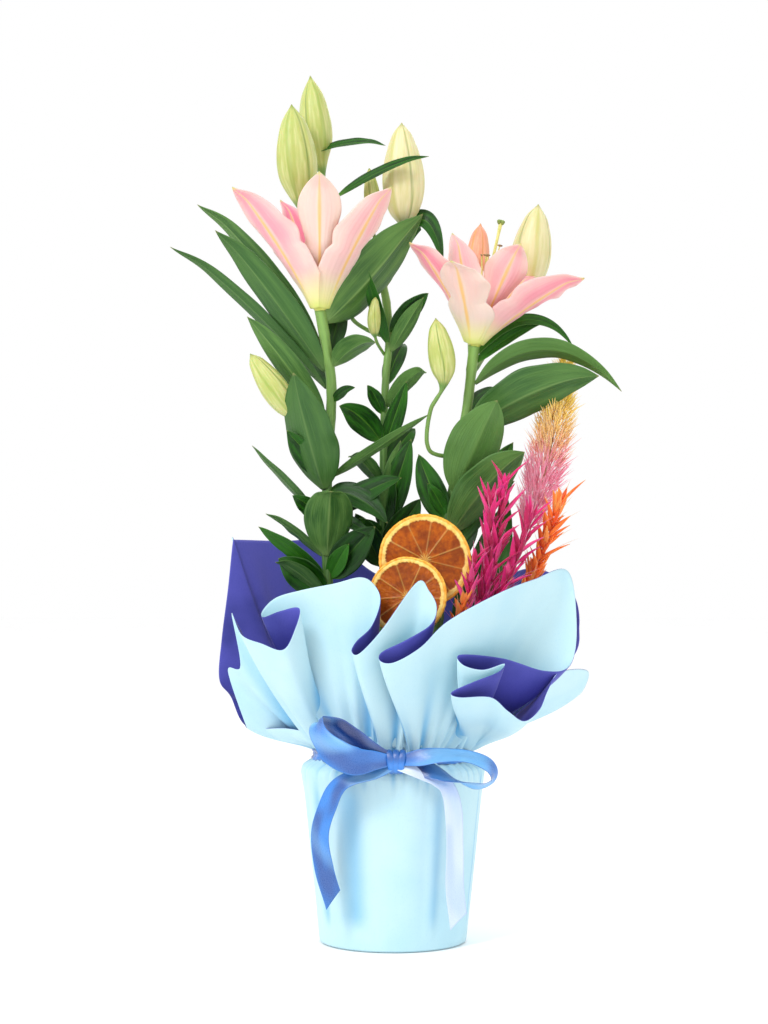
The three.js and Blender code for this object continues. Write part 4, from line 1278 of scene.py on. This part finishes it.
def make_soil():
    low, high = span("soil")
    radius = high[0] - 0.0006
    rings, around = 46, 150
    r = np.linspace(0.01, 1, rings) * radius
    turn = round_turn(around)
    rng = np.random.default_rng(4)
    x, y = r[:, None] * np.cos(turn)[None], r[:, None] * np.sin(turn)[None]
    bumps = np.zeros_like(x)
    for _ in range(SOIL_CRUMBS):
        cx, cy = rng.uniform(-radius, radius, 2)
        size = rng.uniform(1.5, 5) * MM
        away = (x - cx) ** 2 + (y - cy) ** 2
        bumps += rng.uniform(0.2, 1.0) * size * np.exp(-away / (2 * (size * 0.6) ** 2))
    top = high[2] - 4.5 * MM + np.clip(bumps, 0, 4 * MM)
    grid = np.stack([x, y, top], axis=-1)
    skirt = np.stack([x[-1] * 0.9, y[-1] * 0.9, np.full(around, low[2] + 0.001)], axis=-1)[None]
    grid = np.concatenate([grid, skirt])
    rows = len(grid)
    points = grid.reshape(-1, 3)
    faces = [tuple(f) for f in quads(rows, around, True)[:, ::-1]]
    faces.append(tuple(range(around)))
    faces.append(tuple((rows - 1) * around + k for k in reversed(range(around))))
    piece = make_object("soil_crumbs", points, faces, [SOIL])
    finish_piece(piece, "soil", "soil")


def dress_pot():
    pot = NODES["pot"]
    pot.data.materials.clear()
    pot.data.materials.append(POT)


# ---- wrapping paper ----

band_low, band_high = span("ribbon_band")
TIE = np.array([0.0, 0.0, (band_low[2] + band_high[2]) / 2])
POT_LOW, POT_HIGH = span("pot")
WRAP_LOW, _ = span("paper_outer")

# The free edge of the outer sheet, round from its left corner by the front to the right and
# back behind: x, y and height above the tie in mm, and the direction it leaves the neck, in
# degrees. Where x turns back the sheet folds over itself and shows its dark side.
OUTER_EDGE = [
    (-117, -14, 27, -176), (-132, -30, 72, -171), (-122, -46, 76, -166), (-129, -58, 118, -162),
    (-121, -80, 101, -156), (-105, -96, 94, -150), (-88, -108, 89, -145), (-79, -104, 104, -142),
    (-75, -94, 122, -139), (-90, -90, 120, -136), (-104, -89, 115, -133), (-104, -80, 121, -130),
    (-93, -76, 131, -127), (-72, -80, 137, -122), (-47, -85, 142, -116), (-26, -89, 147, -110),
    (-15, -90, 141, -107), (-10, -93, 128, -105), (-17, -99, 108, -102), (-29, -103, 96, -100),
    (-33, -107, 88, -98), (-27, -111, 86, -96), (-9, -112, 105, -93), (19, -108, 143, -89),
    (29, -107, 136, -86), (35, -108, 123, -84), (30, -112, 109, -82), (9, -115, 96, -80),
    (-9, -117, 87, -78), (-10, -121, 80, -76), (1, -122, 79, -74), (22, -121, 91, -71),
    (44, -118, 112, -67), (84, -106, 134, -60), (112, -90, 145, -54), (140, -64, 152, -48),
    (147, -60, 109, -45), (142, -66, 77, -43), (122, -80, 72, -41), (88, -98, 82, -38),
    (54, -110, 85, -36), (56, -114, 77, -34), (72, -112, 73, -32), (89, -108, 78, -30),
    (84, -112, 71, -28), (64, -117, 63, -26), (47, -120, 55, -24), (53, -121, 51, -22),
    (78, -116, 51, -19), (92, -112, 40, -16), (105, -104, 32, -13), (117, -94, 41, -10),
    (124, -84, 57, -7), (133, -70, 71, -3), (156, -40, 72, 4), (150, -6, 54, 12),
    (140, 30, 60, 26), (112, 70, 84, 45), (66, 92, 96, 68), (8, 100, 92, 92),
    (-56, 92, 96, 116), (-100, 64, 72, 140), (-122, 26, 46, 162),
]

# The inner sheet stands behind the lilies with two square corners and shows its dark side.
INNER_EDGE = [
    (-117, -6, 28, -178), (-130, 0, 52, -185), (-139, 6, 66, -188), (-137, 12, 98, -191),
    (-132, 22, 138, -194), (-128, 32, 176, -197), (-126, 36, 177, -199), (-92, 64, 176, -210),
    (-50, 86, 175, -226), (-14, 96, 150, -244), (30, 97, 132, -262), (72, 86, 140, -280),
    (108, 66, 154, -296), (134, 42, 146, -308), (146, 24, 130, -318), (149, 8, 108, -326),
    (143, -14, 82, -334), (98, -30, 40, -350), (58, -46, 22, -376), (4, -64, 20, -442),
    (-48, -48, 20, -484), (-84, -28, 26, -516),
]


NECK_OUT = 59.3 * MM
EDGE_TIE = 153
PAPER_THICK = 0.4 * MM
POT_TAPER = 57 / 71

# The long folds down the wrapped pot (degrees round, mm out, degrees wide), the overlap's edge,
# and the painted shade beside them, a deeper blue (degrees round, degrees wide, strength).
FOLDS = [
    (-152, 2.4, 4), (-127, 3.2, 6), (-117, -0.5, 4), (-62, 2.8, 5), (-54, -0.4, 4),
    (-20, 1.3, 4), (20, 1.0, 8), (75, -1.2, 9), (130, 1.5, 7), (170, -1.0, 8),
]
SEAM_AT = -22
SEAM_WIDE = 24
SEAM_RISE = 2.2 * MM
SHADES = [(-118, 11, 0.45), (-60, 6, 0.35), (SEAM_AT + 2.5, 3.2, 1.0), (-146, 4, 0.45)]

# The inner sheet sits inside the outer one, and its front is tucked in above the tie.
INNER_INSET = 1.3 * MM
INNER_TUCK = 6 * MM


def wrap_profile(inset):
    """Radius and height of the paper round the pot, from under its base up to the neck."""
    low, high = WRAP_LOW[2], POT_HIGH[2]
    base = -POT_LOW[0] * POT_TAPER
    foot = base + 2.6 * MM - inset
    top = POT_HIGH[0] + 2.9 * MM - inset
    floor = low + 0.35 * MM + inset
    return np.array([
        (0.35 * foot, floor),
        (0.8 * foot, floor),
        (foot - 3.4 * MM, floor),
        (foot - 0.9 * MM, floor + 1.2 * MM),
        (foot + 0.1 * MM, floor + 4.2 * MM),
        (foot + (top - foot) * 0.2, low + (high - low) * 0.22),
        (foot + (top - foot) * 0.5, low + (high - low) * 0.5),
        (foot + (top - foot) * 0.8, low + (high - low) * 0.8),
        (top, high - 7 * MM),
        (top + 0.2 * MM, high - 1.5 * MM),
        (top - 1.6 * MM, high + 2.6 * MM),
        (NECK_OUT + 5.5 * MM - inset, TIE[2] - 4.6 * MM),
        (NECK_OUT - inset, TIE[2]),
    ])


def make_sheet(name, edge, inset, seed, columns, node, tuck):
    """One sheet of paper: up from under the pot, gathered at the tie and out to its free edge."""
    edge = np.array(edge, float)
    lifted = edge[:, :3] + [0, 0, EDGE_TIE]
    seen = np.array([from_front(*point) for point in lifted])
    seen[:, 2] += TIE[2] - EDGE_TIE * MM
    rim = smooth(seen, columns, closed=True)
    degrees = edge[:, 3].copy()
    full = np.concatenate([degrees, [degrees[0] + math.copysign(360, degrees[1] - degrees[0])]])
    share = np.linspace(0, len(edge), columns, endpoint=False)
    angle = np.radians(np.interp(share, np.arange(len(edge) + 1), full))
    radial = np.column_stack([np.cos(angle), np.sin(angle), np.zeros(columns)])

    # Pleats: even folds of the paper, tight at the tie and opening above and below it.
    fine = Waves("pleats", 34, 74, 9, True)
    coarse = Waves("gathers", 10, 26, 6, True)
    soft = Waves("drape", 3, 9, 5, True)
    rolling = Waves(f"{seed}r", 8, 20, 6, True)
    wrapped = np.unwrap(angle)
    pleat = fine(wrapped) * 0.75 + coarse(wrapped) * 0.7
    sharp = np.sign(pleat) * np.abs(pleat) ** 0.75

    below = wrap_profile(inset)
    rows_below = 62
    profile = smooth(below, rows_below)
    profile[:, 0] = np.maximum(profile[:, 0], 0.002)
    near_tie = smoothstep(POT_HIGH[2] - 26 * MM, TIE[2], profile[:, 1])
    lower = []
    for (radius, z), near in zip(profile, near_tie):
        fold = sharp * (0.25 + 1.9 * near) * MM * (0.15 + near)
        drape = soft(wrapped) * 0.9 * MM * smoothstep(6 * MM, 40 * MM, z) * (1 - near)
        crease = 0.75 * MM * fold_lines(wrapped) * smoothstep(4 * MM, 30 * MM, z)
        crease = crease + seam_step(wrapped) * smoothstep(4 * MM, 10 * MM, z) * (1 - near)
        ring = radial * (radius + fold + drape + crease)[:, None]
        ring[:, 2] = z + (0.0006 * sharp * near)
        lower.append(ring)

    rows_above = 74
    t = np.linspace(0, 1, rows_above)[1:]
    neck = lower[-1]
    reach = np.linalg.norm(rim - neck, axis=1)
    facing = radial[:, 1] ** 2
    lean = np.radians(34 + 24 * facing)
    inward = unit(rim - neck)
    flare = radial * np.cos(lean)[:, None] + UP * np.sin(lean)[:, None]
    leave = unit(inward * 0.55 + flare * 0.45)
    arrive = unit(inward * 0.86 + UP * 0.3)
    one = neck + leave * (0.33 * reach)[:, None]
    two = rim - arrive * (0.33 * reach)[:, None]
    turning = np.gradient(np.concatenate([rim[-1:, 0], rim[:, 0], rim[:1, 0]]))[1:-1]
    sense = np.sign(np.gradient(neck[:, 0])[radial[:, 1] < -0.5].mean())
    folded = np.clip(-turning * sense / (0.4 * MM), 0, 1) * (radial[:, 1] < -0.1)
    folded = sum(np.roll(folded, k) for k in range(-3, 4)) / 7
    upper = []
    for step in t:
        a, b, c, d = (1 - step) ** 3, 3 * step * (1 - step) ** 2, 3 * step**2 * (1 - step), step**3
        ring = a * neck + b * one + c * two + d * rim
        grow = 3.2 * MM * smoothstep(0, 0.12, step) * (1 - step) ** 1.2 + 1.7 * MM * (1 - step) ** 3
        ring = ring + radial * (sharp * grow)[:, None]
        ripple = rolling(wrapped) * 1.5 * MM * step * (1 - step) * 4
        tucked = tuck * smoothstep(0, 0.08, step) * (1 - smoothstep(0.3, 0.6, step))
        ripple = ripple - tucked * (radial[:, 1] < 0.2)
        ripple = ripple - 5 * MM * folded * smoothstep(0, 0.1, step) * (1 - smoothstep(0.35, 0.7, step))
        ring = ring + radial * ripple[:, None]
        upper.append(ring)
    grid = np.array(lower + upper)
    u = np.linspace(0, 1, len(grid))
    v = np.linspace(0, 1, columns)
    uv = grid_uv(u, v)
    # Painted shade: deeper colour in the pleats' hollows near the tie, beside the folded-over edges and
    # beside the long folds down the pot.
    heights = np.concatenate([near_tie * 0.9, np.exp(-((t / 0.55) ** 2))])
    painted_shade = np.clip(-sharp, 0, 1)[None] * heights[:, None]
    beside = sum(np.roll(folded, k) * math.exp(-((k / 11) ** 2)) for k in range(-26, 27)) / 9
    hollow = np.concatenate([0 * near_tie, np.exp(-(((t - 0.34) / 0.3) ** 2))])
    painted_shade = np.maximum(painted_shade, 0.62 * np.clip(beside, 0, 1)[None] * hollow[:, None])
    pot_rows = np.concatenate([smoothstep(8 * MM, 30 * MM, profile[:, 1]) * (1 - near_tie), 0 * t])
    painted_shade = np.maximum(painted_shade, crease_shade(wrapped)[None] * pot_rows[:, None])
    normal = grid_normals(grid, True)
    outward = (normal[len(lower) // 2] * radial).sum(1).mean()
    faces = [PAPER_BLUE, PAPER_NAVY] if outward > 0 else [PAPER_NAVY, PAPER_BLUE]
    piece = skin_piece(name, grid, PAPER_THICK, faces, uv, wrap=True, floats={"painted_shade": painted_shade})
    return finish_piece(piece, "paper", node)


def degrees_past(angle, degrees):
    """How far each angle is past a place round the pot, from -180 to 180 degrees."""
    return (np.degrees(angle) - degrees + 180) % 360 - 180


def fold_lines(angle):
    """A few long soft folds down the wrapped pot."""
    lines = np.zeros_like(angle)
    for degrees, size, wide in FOLDS:
        gap = degrees_past(angle, degrees)
        lines += size * np.exp(-((gap / wide) ** 2))
    return lines


def seam_step(angle):
    """The edge of the overlapping paper: it rises slowly and drops at once."""
    gap = degrees_past(angle, SEAM_AT)
    return np.where((gap < 0) & (gap > -SEAM_WIDE), SEAM_RISE * (1 + gap / SEAM_WIDE), 0)


def crease_shade(angle):
    """Deeper blue in the hollow beside each long fold and under the seam's edge."""
    shade = np.zeros_like(angle)
    for degrees, wide, depth in SHADES:
        gap = degrees_past(angle, degrees)
        shade = np.maximum(shade, depth * np.exp(-((gap / wide) ** 2)))
    return shade


def make_paper():
    outer = make_sheet("paper_outer_fine", OUTER_EDGE, 0.0, "o", 560, "paper_outer", 0.0)
    inner = make_sheet("paper_inner_fine", INNER_EDGE[::-1], INNER_INSET, "i", 420, "paper_inner", INNER_TUCK)


# ---- ribbon ----

RIBBON_WIDTH = 15 * MM
RIBBON_THICK = 0.35 * MM
BAND_THICK = 0.4 * MM
SLANT = 5.5 * MM


def make_strip(node, points, widths, faces_to, crease, cut=False, paints=(SATIN, SATIN_SHADED)):
    """A length of ribbon along points; faces_to gives the way its bright face looks at each. Its back takes
    the last paint: by default the darker copy, a painted shade.
    """
    count = 110
    path, length = even(np.array(points) * MM + TIE_FRONT, count)
    s = np.linspace(0, 1, count)
    width = np.interp(s, np.linspace(0, 1, len(widths)), widths) * RIBBON_WIDTH / 2
    face = unit(smooth(np.array(faces_to, float), count))
    along = tangents(path)
    side = unit(np.cross(along, face))
    face = np.cross(side, along)
    columns = 15
    v = np.linspace(-1, 1, columns)
    wave = Waves(f"{node}_fine", 10, 26)
    creased = crease * wave(s)[:, None] * np.cos(v[None] * 5 + 8 * s[:, None])
    lift = 0.1 * (v[None] ** 2 - 0.4) * np.ones((count, 1)) + creased
    grid = raised_grid(path, side, face, v, width, lift * width[:, None])
    if cut:
        slant = np.clip((s[:, None] - 0.86) / 0.14, 0, 1)
        grid = grid + along[:, None] * (slant * v[None] * SLANT)[..., None]
    uv = grid_uv(s, (v + 1) / 2)
    # Painted highlight: the sheen attribute is high on faces turned up or down and in broad bands along the
    # strip.
    facing_up = np.abs(grid_normals(grid)[..., 2])
    painted_highlight = 0.6 * smoothstep(0.25, 0.85, facing_up)
    painted_highlight = painted_highlight + 0.75 * smoothstep(0.15, 0.9, wave(s[:, None] * 0.6 + 0.05 * v[None] + 0.3))
    floats = {"sheen": np.clip(painted_highlight, 0, 1)}
    piece = skin_piece(f"{node}_fine", grid, RIBBON_THICK, paints, uv, floats=floats)
    finish_piece(piece, "ribbon", node)
    length = float(length)


knot_low, knot_high = span("ribbon_knot")
TIE_FRONT = (knot_low + knot_high) / 2


def make_ribbon():
    make_strip(
        "ribbon_tail_left",
        [(-3, -2, -3), (-16, -6, -8), (-34, -6, -12), (-45, -3, -19), (-52, 0, -32), (-59, 3, -56),
         (-56, 6, -84), (-49, 9, -109)],
        [0.5, 0.8, 0.9, 1, 1, 1, 1, 1],
        [(0, -1, 0.6), (0.1, -1, 0.8), (0, -1, 0.7), (-0.3, -1, 0.2), (-0.4, -1, 0), (-0.3, -1, 0),
         (0.1, -1, 0), (0.3, -1, 0)],
        0.08, True,
    )
    make_strip(
        # The right tail is all in the pale copy of the satin, a painted reflection.
        "ribbon_tail_right",
        [(2, -2, -3), (16, -6, -7), (32, -6, -13), (41, -3, -22), (45, 0, -40), (46, 3, -70),
         (46, 6, -98), (49, 9, -126)],
        [0.5, 0.8, 0.9, 1, 1, 1, 1, 1],
        [(0, -1, 0.6), (0, -1, 0.8), (0.2, -1, 0.6), (0.4, -1, 0.1), (0.5, -1, 0), (0.35, -1, 0),
         (0.2, -1, 0), (0.3, -1, 0)],
        0.08, True, [SATIN_LIT],
    )
    make_strip(
        "ribbon_loop_left",
        [(-2, -1, 1), (-16, -9, 2), (-32, -14, 2), (-48, -16, 10), (-60, -12, 24), (-60, -7, 33),
         (-50, -6, 28), (-34, -6, 18), (-18, -5, 8), (-2, 0, 3)],
        [0.5, 1.0, 1.5, 1.6, 1.5, 1.3, 1.4, 1.3, 1.0, 0.4],
        [(0, -1, 0.1), (0, -1, 0.2), (0, -1, 0.0), (-0.3, -1, -0.2), (-1, -0.5, 0.3), (-0.4, 0.3, 1),
         (0.2, 1, 0.4), (0.3, 1, 0.2), (0, 1, 0.2), (0, 1, 0)],
        0.1,
    )
    make_strip(
        "ribbon_loop_right",
        [(2, -1, 1), (18, -8, 4), (36, -12, 6), (56, -13, 5), (72, -10, -2), (76, -6, -12), (66, -5, -18),
         (48, -6, -14), (26, -5, -6), (2, 0, -1)],
        [0.5, 0.95, 1.2, 1.2, 1.1, 1.0, 1.1, 1.2, 0.9, 0.4],
        [(0, -1, 0.2), (0, -1, 0.5), (0, -0.6, 1), (0.2, -0.5, 1), (0.9, -0.6, 0.6), (1, -0.3, -0.4),
         (0.1, -0.2, -1), (-0.2, 0.4, -1), (0, 1, -0.4), (0, 1, 0)],
        0.08,
    )
    make_knot()
    make_band()


def make_knot():
    bunch = Gathered()
    for k in range(3):
        turn = np.linspace(-0.15, 1.15, 30) * math.pi
        lean = (k - 1) * 0.3
        x = TIE_FRONT[0] + (k - 1) * 4.2 * MM
        y = TIE_FRONT[1] - 5.2 * MM * np.sin(turn) + 1 * MM
        z = TIE_FRONT[2] + 8.4 * MM * np.cos(turn)
        path = np.column_stack([np.full(30, x) + lean * 4 * MM * np.cos(turn), y, z])
        radius = 2.9 * MM * np.sin(np.linspace(0.5, 2.64, 30)) ** 0.5
        bunch.loft(path, radius, 18, 0.5, 0.55, np.array([1.0, 0, 0]))
    finish_piece(bunch.build("ribbon_knot_fine", [SATIN]), "ribbon", "ribbon_knot")


def make_band():
    count, columns = 260, 11
    turn = round_turn(count)
    radius = NECK_OUT + 5.2 * MM + 0.7 * MM * Waves("band", 20, 46)(turn) * np.sin(turn / 2) ** 0.5
    height = TIE[2] + 0.8 * MM * Waves("bandz", 3, 9)(turn)
    v = np.linspace(-1, 1, columns)
    squeeze = 4.2 * MM * (1 + 0.25 * Waves("bandw", 6, 20)(turn))
    threads = np.cos(v[:, None] * 9 + Waves("bandf", 4, 12)(turn)[None] * 4)
    r = radius[None] + (1.5 * MM * v[:, None] ** 2) + 0.35 * MM * threads
    z = height[None] + v[:, None] * squeeze[None]
    grid = np.stack([r * np.cos(turn), r * np.sin(turn), z], axis=-1)
    uv = np.stack(np.broadcast_arrays(np.linspace(0, 8, count)[None], (v[:, None] + 1) / 2), axis=-1)
    piece = skin_piece("ribbon_band_fine", grid, BAND_THICK, [SATIN], uv, wrap=True)
    finish_piece(piece, "ribbon", "ribbon_band")


# ---- assembly ----

make_stage()
for stem in ("stem_left", "stem_middle", "stem_right"):
    make_stem(stem)
make_cad_leaves()
make_loose_leaves()
make_flower("flower_left", 21, [0.65, 0.12, 0.4, 0.6, 0.5, 0.9])
make_flower("flower_right", 22, [0.15, 0.45, 0.75, 0.5, 0.3, 0.95])
make_buds()
make_small_buds()
make_slice("orange_slice_large", 11, 31)
make_slice("orange_slice_small", 10, 32)
make_plume()
make_orange_spike()
make_magenta_spray()
make_soil()
dress_pot()
make_paper()
make_ribbon()
